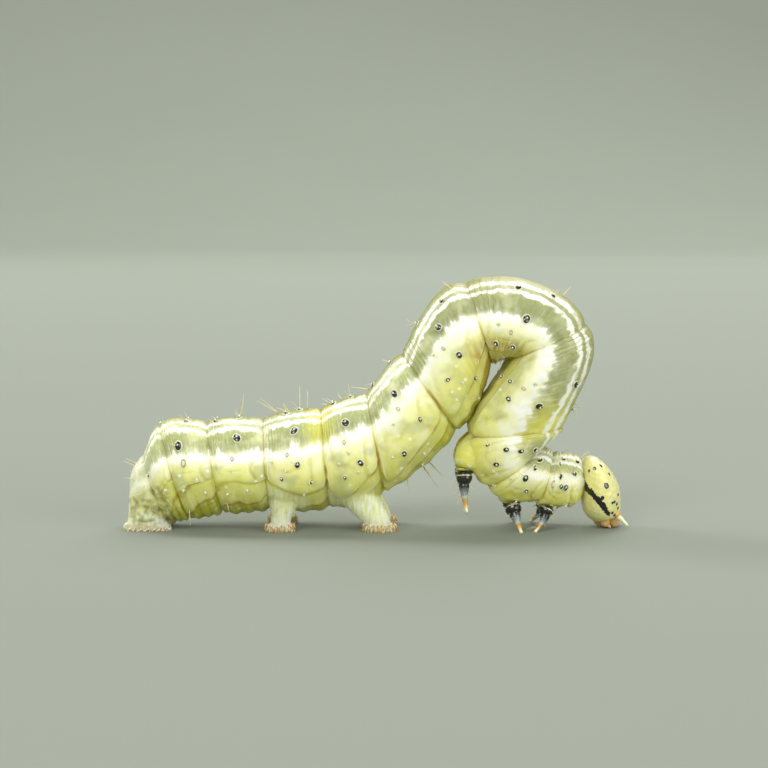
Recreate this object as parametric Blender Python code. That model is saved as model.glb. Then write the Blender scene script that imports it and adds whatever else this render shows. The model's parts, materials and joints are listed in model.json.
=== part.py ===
"""Golden twin-spot moth larva, life size, arched in its looping step.

The head points along +X, the animal's right side faces -Y, and its feet stand on the plane z = 0.
Sizes below are in millimetres. All meshes are made and cut in millimetres, because joining and
cutting such a small animal in metres loses precision, and are turned to metres at the very end.
"""

import math
from collections import namedtuple

import bmesh
import bpy
from mathutils import Matrix, Vector

METRES = 0.001

# Driving sizes, in millimetres
SEAM = 0.25  # clear gap between neighbouring pieces
BODY_SIDES = 32  # points round the body
BODY_RINGS = (0.0, 0.1, 0.28, 0.46, 0.64, 0.82, 1.0)  # share of each segment's length
PLATE_HEIGHT = 0.13  # how far the pale plates along each flank stand out
PLATE_ANGLE = math.radians(100)  # where they lie, measured round from the back
PLATE_SPREAD = math.radians(24)
TAIL_ROUNDING = 0.42  # share of the last segment over which its end closes
FLOOR_CUT = 0.06  # how far a foot is drawn below the floor before its sole is cut flat
MIDDLE = 0.13  # x half way between the tail and the antenna tips, where the origin goes

# The rings between segments, from the tail to the neck: the top and bottom points of each
# ring in the plane of symmetry, as (x, z), and its half width.
Ring = namedtuple("Ring", "back belly half_width")
RINGS = (
    Ring((-12.45, 2.30), (-12.10, 0.62), 1.00),
    Ring((-11.62, 3.70), (-10.35, 0.35), 1.55),
    Ring((-10.75, 5.25), (-9.25, 0.45), 1.90),
    Ring((-8.38, 5.35), (-7.55, 0.75), 2.10),
    Ring((-5.57, 5.50), (-5.20, 0.95), 2.22),
    Ring((-2.68, 6.00), (-2.20, 1.05), 2.30),
    Ring((-0.38, 6.80), (0.55, 1.80), 2.35),
    Ring((1.38, 8.80), (4.20, 4.95), 2.35),
    Ring((4.50, 12.33), (5.90, 8.30), 2.30),
    Ring((10.60, 10.30), (6.60, 8.50), 2.30),
    Ring((9.45, 5.10), (4.70, 4.70), 2.20),
    Ring((8.55, 4.12), (5.65, 2.12), 1.92),
    Ring((9.00, 3.80), (8.30, 1.38), 1.60),
    Ring((10.42, 3.55), (10.15, 1.10), 1.32),
)

# Each segment swells between its two rings by this much at its back, flank and belly.
Segment = namedtuple("Segment", "name back flank belly")
SEGMENTS = (
    Segment("abdomen_10", 0.10, 0.15, 0.00),
    Segment("abdomen_9", 0.0, 0.15, 0.05),
    Segment("abdomen_8", 0.12, 0.20, 0.05),
    Segment("abdomen_7", 0.18, 0.20, 0.10),
    Segment("abdomen_6", 0.20, 0.20, 0.12),
    Segment("abdomen_5", 0.20, 0.22, 0.12),
    Segment("abdomen_4", 0.20, 0.25, 0.06),
    Segment("abdomen_3", 0.25, 0.25, 0.10),
    Segment("abdomen_2", 0.30, 0.25, -0.05),
    Segment("abdomen_1", 0.14, 0.25, 0.00),
    Segment("metathorax", 0.20, 0.22, 0.15),
    Segment("mesothorax", 0.12, 0.20, 0.18),
    Segment("prothorax", 0.15, 0.12, 0.10),
)

# Soft legs: each is a column of level rings, as (height, half length, half width). Its middle
# runs from the sole at (x, y) on the floor to the root at (x, y) high up in the body.
SoftLeg = namedtuple("SoftLeg", "name sole root column")
SOFT_LEG_SIDES = 28
SCALLOPS = 14  # hooks round each sole
SCALLOP_HEIGHT = 0.045
SCALLOP_RINGS = 3  # lowest rings of the column that carry them
SOFT_LEGS = (
    SoftLeg(
        "clasper",
        (-11.33, 0.98),
        (-11.45, 0.75),
        (
            (0.0, 1.10, 0.40),
            (0.12, 1.18, 0.48),
            (0.30, 1.14, 0.46),
            (0.48, 0.96, 0.40),
            (0.95, 0.86, 0.48),
            (1.50, 0.84, 0.52),
            (2.00, 0.76, 0.44),
        ),
    ),
    SoftLeg(
        "proleg_a6",
        (-4.68, 1.38),
        (-4.35, 1.05),
        (
            (0.0, 0.62, 0.44),
            (0.12, 0.71, 0.52),
            (0.32, 0.68, 0.50),
            (0.46, 0.51, 0.42),
            (0.80, 0.50, 0.46),
            (1.20, 0.64, 0.56),
            (1.65, 0.95, 0.74),
            (2.20, 1.08, 0.85),
        ),
    ),
    SoftLeg(
        "proleg_a5",
        (0.28, 1.38),
        (-0.95, 1.02),
        (
            (0.0, 0.70, 0.44),
            (0.12, 0.80, 0.52),
            (0.32, 0.76, 0.50),
            (0.46, 0.58, 0.43),
            (0.85, 0.60, 0.50),
            (1.35, 0.80, 0.62),
            (1.85, 1.05, 0.80),
            (2.40, 1.15, 0.90),
        ),
    ),
)

# Jointed legs of the thorax, as (x, distance from the plane of symmetry, z): where the leg
# is rooted in the body, where its first dark ring starts, and its tip.
JointedLeg = namedtuple("JointedLeg", "name root hip tip radius")
JOINTED_LEG_SIDES = 12
JOINTED_LEGS = (
    JointedLeg("leg_t1", (8.45, 0.80, 2.10), (8.60, 0.98, 1.25), (7.98, 1.70, 0.0), 0.37),
    JointedLeg("leg_t2", (6.65, 0.80, 2.40), (6.87, 1.02, 1.40), (7.32, 2.05, 0.0), 0.42),
    JointedLeg("leg_t3", (4.80, 0.80, 4.10), (4.56, 1.00, 3.08), (4.62, 1.40, 0.92), 0.41),
)
# Width of a jointed leg from hip to tip, as (share of that length, share of its radius)
LEG_PROFILE = (
    (0.0, 1.12),
    (0.10, 1.04),
    (0.15, 0.84),
    (0.19, 0.98),
    (0.40, 0.88),
    (0.44, 0.70),
    (0.48, 0.76),
    (0.63, 0.62),
    (0.67, 0.47),
    (0.71, 0.50),
    (0.90, 0.36),
    (1.0, 0.24),
)

# The head capsule hangs down and a little forwards. Down its own axis from the crown come
# rings, as (drop, front, rear, half width); front and rear are measured forwards of the crown.
CROWN = Vector((10.58, 0.0, 3.50))
HEAD_LEAN = math.radians(14.2)  # how far the chin is swung forwards of the crown
HEAD_SIDES = 40
HEAD_RINGS = (
    (0.00, 0.42, 0.10, 0.55),
    (0.07, 0.55, 0.00, 0.82),
    (0.22, 0.71, -0.12, 1.06),
    (0.46, 0.90, -0.24, 1.25),
    (0.80, 1.09, -0.36, 1.38),
    (1.20, 1.24, -0.47, 1.45),
    (1.60, 1.33, -0.57, 1.47),
    (1.95, 1.35, -0.65, 1.45),
    (2.25, 1.31, -0.69, 1.39),
    (2.55, 1.25, -0.69, 1.30),
    (2.82, 1.17, -0.60, 1.17),
    (3.05, 1.08, -0.45, 1.00),
    (3.22, 0.94, -0.24, 0.74),
)
CLEFT_DEPTH = 0.12  # furrow between the two lobes of the crown
SUTURE_DEPTH = 0.06
FORK_DROP = 1.75  # where the furrow down the face forks round the triangle above the mouth
FORK_SLOPE = 0.42
FURROW_WIDTH = 0.10
EYE_RADIUS = 0.11
EYES = (  # the six simple eyes of one side, as (drop, angle round from the face in degrees)
    (2.08, 36),
    (2.34, 55),
    (2.50, 46),
    (2.74, 40),
    (2.86, 66),
    (3.02, 58),
)
# Mouthparts as rounded lumps: (drop, forwards, sideways) and their half sizes the same way
Lump = namedtuple("Lump", "place half_size")
SINGLE_LUMPS = (
    Lump((3.02, 0.94, 0.0), (0.26, 0.18, 0.50)),  # clypeus
    Lump((3.20, -0.02, 0.0), (0.34, 0.30, 0.30)),  # labium
)
PAIRED_LUMPS = (
    Lump((3.28, 0.98, 0.17), (0.22, 0.12, 0.25)),  # labrum, notched in the middle
    Lump((3.32, 0.66, 0.30), (0.40, 0.27, 0.27)),  # mandible
    Lump((3.22, 0.22, 0.46), (0.36, 0.27, 0.25)),  # maxilla
    Lump((3.02, 0.86, 0.74), (0.17, 0.17, 0.17)),  # socket of the antenna
)
# Small tapered stalks at the mouth: where each starts and ends in the head, and end radii
Stalk = namedtuple("Stalk", "start end radii")
SPINNERET = Stalk((3.40, 0.05, 0.0), (3.66, 0.30, 0.0), (0.12, 0.06))
PALP = Stalk((3.42, 0.26, 0.44), (3.66, 0.42, 0.48), (0.12, 0.06))
ANTENNA = Stalk((2.98, 0.80, 0.70), (3.80, 1.30, 0.88), (0.20, 0.07))

# Colours, as red, green and blue in linear light
PALE_GREEN = (0.62, 0.68, 0.33)
YELLOW_GREEN = (0.52, 0.55, 0.16)
HEAD_YELLOW = (0.66, 0.62, 0.24)
LEG_BLACK = (0.02, 0.02, 0.015)


def material(name, colour, roughness):
    made = bpy.data.materials.new(name)
    made.use_nodes = True
    shader = made.node_tree.nodes["Principled BSDF"]
    shader.inputs["Base Color"].default_value = (*colour, 1.0)
    shader.inputs["Roughness"].default_value = roughness
    shader.inputs["Metallic"].default_value = 0.0
    return made


def plane_point(pair):
    """A point (x, z) of the plane of symmetry."""
    return Vector((pair[0], 0.0, pair[1]))


BACKS = [plane_point(ring.back) for ring in RINGS]
BELLIES = [plane_point(ring.belly) for ring in RINGS]


def heading(points, i):
    """Unit direction of the outline through points, at point i."""
    before, after = points[max(i - 1, 0)], points[min(i + 1, len(points) - 1)]
    return (after - before).normalized()


def arc(start, end, leaving, arriving, u):
    """A smooth curve from start to end that leaves and arrives along the given directions."""
    reach = (end - start).length
    a, b, c, d = (1 + 2 * u) * (1 - u) ** 2, u * (1 - u) ** 2, u * u * (3 - 2 * u), u * u * (u - 1)
    return start * a + leaving * (b * reach) + end * c + arriving * (d * reach)


def ring_normal(i):
    """Direction along the body through ring i, towards the head."""
    up = (BACKS[i] - BELLIES[i]).normalized()
    return Vector((up.z, 0.0, -up.x))


def swelling(u):
    """How far a segment has swelled at the share u of its length: 0 at its rings, 1 between."""
    return 1 - abs(2 * u - 1) ** 2.6


def end_closing(i, u):
    """The last segment closes to a blunt point at the tail."""
    if i > 0 or u >= TAIL_ROUNDING:
        return 1.0
    short = 1 - u / TAIL_ROUNDING
    return math.sqrt(max(1 - short * short, 0.0)) * 0.94 + 0.06


def body_ring(i, u, grow=0.0, inset=0.0):
    """Points round segment i at the share u of its length, grown outwards by grow.

    inset draws both ends of the segment in along the body, which leaves the seams."""
    near, far = ring_normal(i) * inset, ring_normal(i + 1) * -inset
    back = arc(BACKS[i] + near, BACKS[i + 1] + far, heading(BACKS, i), heading(BACKS, i + 1), u)
    belly = arc(
        BELLIES[i] + near, BELLIES[i + 1] + far, heading(BELLIES, i), heading(BELLIES, i + 1), u
    )
    blend = u * u * (3 - 2 * u)
    half_width = RINGS[i].half_width * (1 - blend) + RINGS[i + 1].half_width * blend
    centre, up = (back + belly) / 2, (back - belly).normalized()
    half_depth = (back - belly).length / 2
    segment, swell = SEGMENTS[i], swelling(u)
    side = Vector((0.0, 1.0, 0.0))
    points = []
    for n in range(BODY_SIDES):
        angle = 2 * math.pi * n / BODY_SIDES
        c, s = math.cos(angle), math.sin(angle)
        bulge = segment.back * max(c, 0) ** 2 + segment.flank * s * s + segment.belly * min(c, 0) ** 2
        off_plate = (abs(math.remainder(angle, 2 * math.pi)) - PLATE_ANGLE) / PLATE_SPREAD
        bulge += PLATE_HEIGHT * math.exp(-off_plate * off_plate)
        outward = bulge * swell + grow
        closing = end_closing(i, u)
        reach_up, reach_side = (half_depth + outward) * closing, (half_width + outward) * closing
        points.append(centre + up * (c * reach_up) + side * (s * reach_side))
    return points


def body_rings(i, grow=0.0, inset=SEAM / 2):
    return [body_ring(i, share, grow, inset) for share in BODY_RINGS]


def soft_leg_rings(leg, side):
    """Level rings from the sole up, with the scallops of the hooks round the sole."""
    top = leg.column[-1][0]
    rings = []
    for level, (height, half_length, half_width) in enumerate(leg.column):
        share = height / top
        ease = share * share * (3 - 2 * share)
        x = leg.sole[0] * (1 - ease) + leg.root[0] * ease
        y = leg.sole[1] * (1 - ease) + leg.root[1] * ease
        points = []
        for n in range(SOFT_LEG_SIDES):
            angle = 2 * math.pi * n / SOFT_LEG_SIDES
            frill = SCALLOP_HEIGHT * math.cos(SCALLOPS * angle) if level < SCALLOP_RINGS else 0.0
            points.append(
                Vector(
                    (
                        x + (half_length + frill) * math.cos(angle),
                        side * y + (half_width + frill) * math.sin(angle),
                        height,
                    )
                )
            )
        rings.append(points)
    return rings


def circle(centre, along, radius, sides):
    """Points of a circle round centre, square to the direction along."""
    across = along.orthogonal().normalized()
    upright = along.cross(across).normalized()
    turns = [2 * math.pi * n / sides for n in range(sides)]
    return [centre + (across * math.cos(t) + upright * math.sin(t)) * radius for t in turns]


def jointed_leg_rings(leg, side):
    """Rings from the root in the body, past the hip and the joints, to the tip."""
    mirrored = [Vector((x, side * y, z)) for x, y, z in (leg.root, leg.hip, leg.tip)]
    root, hip, tip = mirrored
    if tip.z == 0:
        tip = tip + (tip - hip).normalized() * FLOOR_CUT
    bend = (hip - root).normalized()
    rings = [circle(root, bend, leg.radius * 1.35, JOINTED_LEG_SIDES)]
    knee = hip + bend * (tip - hip).length * 0.35
    for share, width in LEG_PROFILE:
        point = hip * (1 - share) ** 2 + knee * (2 * share * (1 - share)) + tip * share**2
        along = ((knee - hip) * (1 - share) + (tip - knee) * share).normalized()
        rings.append(circle(point, along, leg.radius * width, JOINTED_LEG_SIDES))
    return rings


def head_place(drop, forwards, sideways):
    """A point of the head from its distances down, forwards and sideways of the crown."""
    down = Vector((math.sin(HEAD_LEAN), 0.0, -math.cos(HEAD_LEAN)))
    ahead = Vector((math.cos(HEAD_LEAN), 0.0, math.sin(HEAD_LEAN)))
    return CROWN + down * drop + ahead * forwards + Vector((0.0, sideways, 0.0))


def furrow(drop, sideways):
    """Depth of the furrows on the face: one down the middle that forks above the mouth."""
    apart = max(drop - FORK_DROP, 0.0) * FORK_SLOPE
    off = (abs(sideways) - apart) / FURROW_WIDTH
    deep = SUTURE_DEPTH + (CLEFT_DEPTH - SUTURE_DEPTH) * max(1 - drop / 0.9, 0.0)
    return deep * math.exp(-off * off)


def head_rings(grow=0.0):
    rings = []
    for drop, front, rear, half_width in HEAD_RINGS:
        middle, half_depth = (front + rear) / 2, (front - rear) / 2
        points = []
        for n in range(HEAD_SIDES):
            angle = 2 * math.pi * n / HEAD_SIDES
            sideways = (half_width + grow) * math.sin(angle)
            forwards = middle + (half_depth + grow) * math.cos(angle)
            if math.cos(angle) > 0 and grow == 0:
                forwards -= furrow(drop, sideways)
            points.append(head_place(drop, forwards, sideways))
        rings.append(points)
    return rings


def head_skin(drop, angle):
    """The point of the head capsule at this drop, at an angle round from the face."""
    after = next(i for i, ring in enumerate(HEAD_RINGS) if ring[0] >= drop)
    low, high = HEAD_RINGS[after - 1], HEAD_RINGS[after]
    share = (drop - low[0]) / (high[0] - low[0])
    _, front, rear, half_width = (a + (b - a) * share for a, b in zip(low, high))
    forwards = (front + rear) / 2 + (front - rear) / 2 * math.cos(angle)
    return head_place(drop, forwards, half_width * math.sin(angle))


def as_object(name, shape, collection, skin=None):
    """An object made of the bmesh shape."""
    bmesh.ops.recalc_face_normals(shape, faces=shape.faces)
    mesh = bpy.data.meshes.new(name)
    shape.to_mesh(mesh)
    shape.free()
    if skin:
        mesh.materials.append(skin)
    mesh.shade_smooth()
    made = bpy.data.objects.new(name, mesh)
    collection.objects.link(made)
    return made


def loft(name, rings, collection, skin=None):
    """A closed piece through rings of equally many points, with flat ends."""
    shape = bmesh.new()
    rows = [[shape.verts.new(point) for point in ring] for ring in rings]
    for lower, upper in zip(rows, rows[1:]):
        for n in range(len(lower)):
            after = (n + 1) % len(lower)
            shape.faces.new((lower[n], lower[after], upper[after], upper[n]))
    shape.faces.new(reversed(rows[0]))
    shape.faces.new(rows[-1])
    return as_object(name, shape, collection, skin)


def lump(name, place, half_size, collection):
    """An egg shape in the head, its half sizes taken down, forwards and sideways."""
    shape = bmesh.new()
    bmesh.ops.create_uvsphere(shape, u_segments=12, v_segments=8, radius=1.0)
    stretch = Matrix.Diagonal((half_size[1], half_size[2], half_size[0], 1.0))
    lean = Matrix.Rotation(-HEAD_LEAN, 4, "Y")
    spot = Matrix.Translation(head_place(*place))
    bmesh.ops.transform(shape, matrix=spot @ lean @ stretch, verts=shape.verts)
    return as_object(name, shape, collection)


def stalk_rings(stalk, side, sides=10):
    start, end = (head_place(drop, ahead, side * out) for drop, ahead, out in (stalk.start, stalk.end))
    along = (end - start).normalized()
    rings = []
    for share, width in ((0.0, 1.0), (0.45, 0.85), (0.5, 0.6), (0.92, 0.4), (1.0, 0.0)):
        radius = stalk.radii[1] + (stalk.radii[0] - stalk.radii[1]) * width
        rings.append(circle(start.lerp(end, share), along, radius, sides))
    return rings


def largest_body(node):
    """Keeps only the largest closed surface of a node, by its number of faces."""
    shape = bmesh.new()
    shape.from_mesh(node.data)
    left = set(shape.verts)
    bodies = []
    while left:
        reached = {left.pop()}
        edge_of_search = set(reached)
        while edge_of_search:
            near = {e.other_vert(v) for v in edge_of_search for e in v.link_edges}
            edge_of_search = near - reached
            reached |= near
        left -= reached
        bodies.append(reached)
    keep = max(bodies, key=len)
    bmesh.ops.delete(shape, geom=[v for v in shape.verts if v not in keep], context="VERTS")
    shape.to_mesh(node.data)
    shape.free()


def settle(node):
    """Applies the node's modifiers and keeps its largest closed surface."""
    graph = bpy.context.evaluated_depsgraph_get()
    mesh = bpy.data.meshes.new_from_object(node.evaluated_get(graph))
    node.modifiers.clear()
    node.data = mesh
    largest_body(node)


def combine(node, others, operation):
    """Joins or cuts a node by all objects of a collection at once.

    The exact solver tears one of the leg roots, so the cuts use the manifold one."""
    step = node.modifiers.new(operation.lower(), "BOOLEAN")
    step.operation = operation
    step.operand_type = "COLLECTION"
    step.collection = others
    step.solver = "EXACT" if operation == "UNION" else "MANIFOLD"
    settle(node)


def cut_sole(node):
    """Cuts off whatever hangs below the floor and closes the flat sole that this leaves."""
    shape = bmesh.new()
    shape.from_mesh(node.data)
    everything = list(shape.verts) + list(shape.edges) + list(shape.faces)
    bmesh.ops.bisect_plane(
        shape, geom=everything, dist=1e-4, plane_co=(0, 0, 0), plane_no=(0, 0, -1), clear_outer=True
    )
    open_edges = [edge for edge in shape.edges if edge.is_boundary]
    bmesh.ops.holes_fill(shape, edges=open_edges)
    shape.to_mesh(node.data)
    shape.free()
    largest_body(node)


def new_collection(name, parent):
    made = bpy.data.collections.new(name)
    parent.children.link(made)
    return made


def empty_out(collection):
    for member in list(collection.objects):
        bpy.data.objects.remove(member)
    bpy.data.collections.remove(collection)


for leftover in list(bpy.data.objects):
    bpy.data.objects.remove(leftover)
scene_root = bpy.context.scene.collection
larva = new_collection("larva", scene_root)
body_cutters = new_collection("cutters", scene_root)
head_cutters = new_collection("head_cutters", scene_root)

flesh = material("flesh", PALE_GREEN, 0.35)
soft_legs = material("soft_legs", YELLOW_GREEN, 0.35)
horn = material("horn", HEAD_YELLOW, 0.3)
dark_horn = material("dark_horn", LEG_BLACK, 0.25)

# Body segments, and a grown copy of each that cuts whatever is rooted in them
for index, part in enumerate(SEGMENTS):
    loft(part.name, body_rings(index), larva, flesh)
    loft(part.name + "_cutter", body_rings(index, grow=SEAM, inset=-SEAM / 2), body_cutters)
loft("head_cutter", head_rings(grow=SEAM), head_cutters)

# Head capsule with its eyes and mouthparts
head = loft("head", head_rings(), larva, horn)
head_parts = new_collection("head_parts", scene_root)
for piece in SINGLE_LUMPS:
    lump("mouthpart", piece.place, piece.half_size, head_parts)
for side in (-1, 1):
    for piece in PAIRED_LUMPS:
        drop, ahead, out = piece.place
        lump("mouthpart", (drop, ahead, side * out), piece.half_size, head_parts)
    loft("palp", stalk_rings(PALP, side), head_parts)
    for drop, degrees in EYES:
        eye = bmesh.new()
        bmesh.ops.create_icosphere(eye, subdivisions=2, radius=EYE_RADIUS)
        bmesh.ops.translate(eye, vec=head_skin(drop, side * math.radians(degrees)), verts=eye.verts)
        as_object("eye", eye, head_parts)
loft("spinneret", stalk_rings(SPINNERET, 1), head_parts)
combine(head, head_parts, "UNION")
empty_out(head_parts)
combine(head, body_cutters, "DIFFERENCE")
cut_sole(head)

# Legs and antennae of both sides
for side, side_name in ((-1, "right"), (1, "left")):
    for leg in SOFT_LEGS:
        node = loft(f"{leg.name}_{side_name}", soft_leg_rings(leg, side), larva, soft_legs)
        combine(node, body_cutters, "DIFFERENCE")
    for leg in JOINTED_LEGS:
        node = loft(f"{leg.name}_{side_name}", jointed_leg_rings(leg, side), larva, dark_horn)
        combine(node, body_cutters, "DIFFERENCE")
        cut_sole(node)
    node = loft(f"antenna_{side_name}", stalk_rings(ANTENNA, side), larva, horn)
    combine(node, head_cutters, "DIFFERENCE")

for cutter in list(body_cutters.objects) + list(head_cutters.objects):
    cutter.hide_render = True
    cutter.display_type = "WIRE"
to_origin = Matrix.Scale(METRES, 4) @ Matrix.Translation((-MIDDLE, 0.0, 0.0))
for made in bpy.data.objects:
    made.data.transform(to_origin)
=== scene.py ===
"""Looks of the golden twin-spot moth larva: its skin, horn, spots, bristles, feet and the studio.

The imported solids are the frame. Shapes are worked out in millimetres, as the animal is small, and
every finished piece is turned to metres in the frame's own place.
"""

import json
import math
import random

import bmesh
import bpy
import numpy as np
from mathutils import Matrix, Vector, kdtree

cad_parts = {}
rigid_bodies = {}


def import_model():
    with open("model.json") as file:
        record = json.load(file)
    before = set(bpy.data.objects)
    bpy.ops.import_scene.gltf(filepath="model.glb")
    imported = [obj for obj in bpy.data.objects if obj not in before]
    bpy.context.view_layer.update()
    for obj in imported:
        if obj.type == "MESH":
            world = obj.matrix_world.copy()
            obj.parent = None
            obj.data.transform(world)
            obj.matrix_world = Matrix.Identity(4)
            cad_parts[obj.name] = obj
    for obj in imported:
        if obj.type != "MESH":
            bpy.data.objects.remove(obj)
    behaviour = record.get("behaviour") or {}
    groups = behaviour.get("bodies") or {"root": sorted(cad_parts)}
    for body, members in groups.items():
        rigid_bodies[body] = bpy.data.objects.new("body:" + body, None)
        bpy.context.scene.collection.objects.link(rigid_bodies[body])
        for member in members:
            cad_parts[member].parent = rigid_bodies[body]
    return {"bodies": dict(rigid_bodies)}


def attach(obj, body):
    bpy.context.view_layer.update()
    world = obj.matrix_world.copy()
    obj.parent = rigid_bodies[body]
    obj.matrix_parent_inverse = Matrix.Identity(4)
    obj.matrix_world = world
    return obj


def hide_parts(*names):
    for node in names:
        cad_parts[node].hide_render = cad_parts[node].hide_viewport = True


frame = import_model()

bl_info = {
    "name": "Looper Larva",
    "version": (1, 0, 0),
    "blender": (4, 5, 0),
    "location": "3D View > Sidebar > Larva",
    "description": "Models a looper larva with its skin, horn, spots, bristles and feet",
    "category": "Add Mesh",
}

MM = 0.001
MIDDLE = 0.13  # x half way between tail and feelers, in the millimetres used below

# Rings between the segments from tail to neck: top and bottom point as (x, z), and half width
RINGS = (
    ((-12.45, 2.30), (-12.10, 0.62), 1.00),
    ((-11.62, 3.70), (-10.35, 0.35), 1.55),
    ((-10.75, 5.25), (-9.25, 0.45), 1.90),
    ((-8.38, 5.35), (-7.55, 0.75), 2.10),
    ((-5.57, 5.50), (-5.20, 0.95), 2.22),
    ((-2.68, 6.00), (-2.20, 1.05), 2.30),
    ((-0.38, 6.80), (0.55, 1.80), 2.35),
    ((1.38, 8.80), (4.20, 4.95), 2.35),
    ((4.50, 12.33), (5.90, 8.30), 2.30),
    ((10.60, 10.30), (6.60, 8.50), 2.30),
    ((9.45, 5.10), (4.70, 4.70), 2.20),
    ((8.55, 4.12), (5.65, 2.12), 1.92),
    ((9.00, 3.80), (8.30, 1.38), 1.60),
    ((10.42, 3.55), (10.15, 1.10), 1.32),
)
BACKS = np.array([ring[0] for ring in RINGS])
BELLIES = np.array([ring[1] for ring in RINGS])
HALF_WIDTHS = np.array([ring[2] for ring in RINGS])
SEGMENTS = len(RINGS) - 1

# How far each segment swells between its rings at back, flank and belly
SWELLS = np.array((
    (0.10, 0.15, 0.00),
    (0.00, 0.15, 0.05),
    (0.12, 0.20, 0.05),
    (0.18, 0.20, 0.10),
    (0.20, 0.20, 0.12),
    (0.20, 0.22, 0.12),
    (0.20, 0.25, 0.06),
    (0.25, 0.25, 0.20),
    (0.30, 0.25, 0.18),
    (0.14, 0.25, 0.10),
    (0.20, 0.22, 0.15),
    (0.12, 0.20, 0.18),
    (0.15, 0.12, 0.10),
))
SEGMENT_NAMES = [f"abdomen_{n}" for n in range(10, 0, -1)] + ["metathorax", "mesothorax", "prothorax"]

# Where the markings of each segment lie, in degrees round from the middle of the back: the two
# white lines, the upper edge of the white band, where it fades, and the edge of the flank plate
BANDS = np.array((
    (22, 34, 60, 78, 92),
    (22, 36, 64, 82, 96),
    (20, 36, 68, 86, 102),
    (20, 35, 68, 86, 102),
    (21, 35, 68, 88, 118),
    (21, 33, 62, 86, 130),
    (23, 35, 62, 88, 128),
    (26, 38, 62, 90, 128),
    (31, 46, 80, 106, 128),
    (36, 51, 86, 118, 142),
    (30, 48, 84, 116, 158),
    (25, 45, 72, 104, 150),
    (25, 46, 70, 102, 138),
), dtype=float)

# Soft legs as columns of level rings: (height, half length, half width). The middle of each runs
# from the sole (x, y) to the root (x, y) in the body.
SOFT_LEGS = {
    "clasper": ((-11.33, 0.98), (-11.45, 0.75), (
        (0.0, 1.10, 0.40), (0.12, 1.18, 0.48), (0.30, 1.14, 0.46), (0.48, 0.96, 0.40),
        (0.95, 0.86, 0.48), (1.50, 0.84, 0.52), (2.00, 0.76, 0.44))),
    "proleg_a6": ((-4.68, 1.38), (-4.35, 1.05), (
        (0.0, 0.62, 0.44), (0.12, 0.71, 0.52), (0.32, 0.68, 0.50), (0.46, 0.49, 0.42),
        (0.80, 0.52, 0.48), (1.20, 0.70, 0.62), (1.65, 0.98, 0.80), (2.20, 1.10, 0.88))),
    "proleg_a5": ((0.28, 1.38), (-1.12, 1.02), (
        (0.0, 0.70, 0.44), (0.12, 0.80, 0.52), (0.32, 0.76, 0.50), (0.46, 0.68, 0.43),
        (0.85, 0.86, 0.50), (1.35, 1.04, 0.62), (1.85, 1.16, 0.80), (2.40, 1.20, 0.90))),
}
# Jointed legs: root, first dark ring and tip, as (x, sideways, z), and the radius at the hip
JOINTED_LEGS = {
    "leg_t1": ((8.45, 0.80, 2.10), (8.60, 0.98, 1.25), (7.98, 1.70, 0.0), 0.37),
    "leg_t2": ((6.65, 0.80, 2.40), (6.87, 1.02, 1.40), (7.32, 2.05, 0.0), 0.42),
    "leg_t3": ((4.80, 0.80, 4.10), (4.56, 1.00, 3.08), (4.62, 1.40, 0.92), 0.41),
}
SIDES = {"right": -1, "left": 1}

# The head hangs from its crown: rings down it as (drop, front, rear, half width)
CROWN = Vector((10.58, 0.0, 3.50))
HEAD_LEAN = math.radians(14.2)
HEAD_RINGS = np.array((
    (-0.03, 0.30, 0.22, 0.00),
    (0.00, 0.44, 0.09, 0.55),
    (0.07, 0.55, 0.00, 0.82),
    (0.22, 0.71, -0.12, 1.06),
    (0.46, 0.90, -0.24, 1.25),
    (0.80, 1.09, -0.36, 1.38),
    (1.20, 1.24, -0.47, 1.45),
    (1.60, 1.33, -0.57, 1.47),
    (1.95, 1.35, -0.65, 1.45),
    (2.25, 1.31, -0.69, 1.39),
    (2.55, 1.25, -0.69, 1.30),
    (2.82, 1.17, -0.60, 1.17),
    (3.05, 1.08, -0.45, 1.00),
    (3.22, 0.94, -0.24, 0.74),
    (3.26, 0.40, 0.30, 0.00),
))


def linear(text):
    """An sRGB hex colour as the linear colour that shaders take."""
    parts = [int(text[n:n + 2], 16) / 255 for n in (1, 3, 5)]
    return tuple(c / 12.92 if c <= 0.04045 else ((c + 0.055) / 1.055) ** 2.4 for c in parts) + (1.0,)


def colour_property(name, text, words):
    return bpy.props.FloatVectorProperty(
        name=name, description=words, subtype="COLOR", size=4, min=0.0, max=1.0, default=linear(text)
    )


def length_property(name, millimetres, words):
    return bpy.props.FloatProperty(
        name=name, description=words, default=millimetres * MM, min=0.0, precision=5,
        subtype="DISTANCE", unit="LENGTH",
    )


class LarvaSizes(bpy.types.PropertyGroup):
    """Sizes of the fine parts of the larva."""

    spot_length: length_property("Spot length", 0.36, "Length of the black spots on the back")
    spot_rise: length_property("Spot rise", 0.07, "How far a spot stands out of the skin")
    bristle_width: length_property("Bristle width", 0.062, "Width of a bristle at its root")
    hook_length: length_property("Hook length", 0.24, "Length of the hooks round the soles")
    scallop_size: length_property("Scallop size", 0.52, "Width of the lobes of the white band")
    speckle_size: length_property("Speckle size", 0.16, "Grain of the mottling in the skin")
    eye_width: length_property("Eye width", 0.17, "Width of each simple eye")


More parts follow.
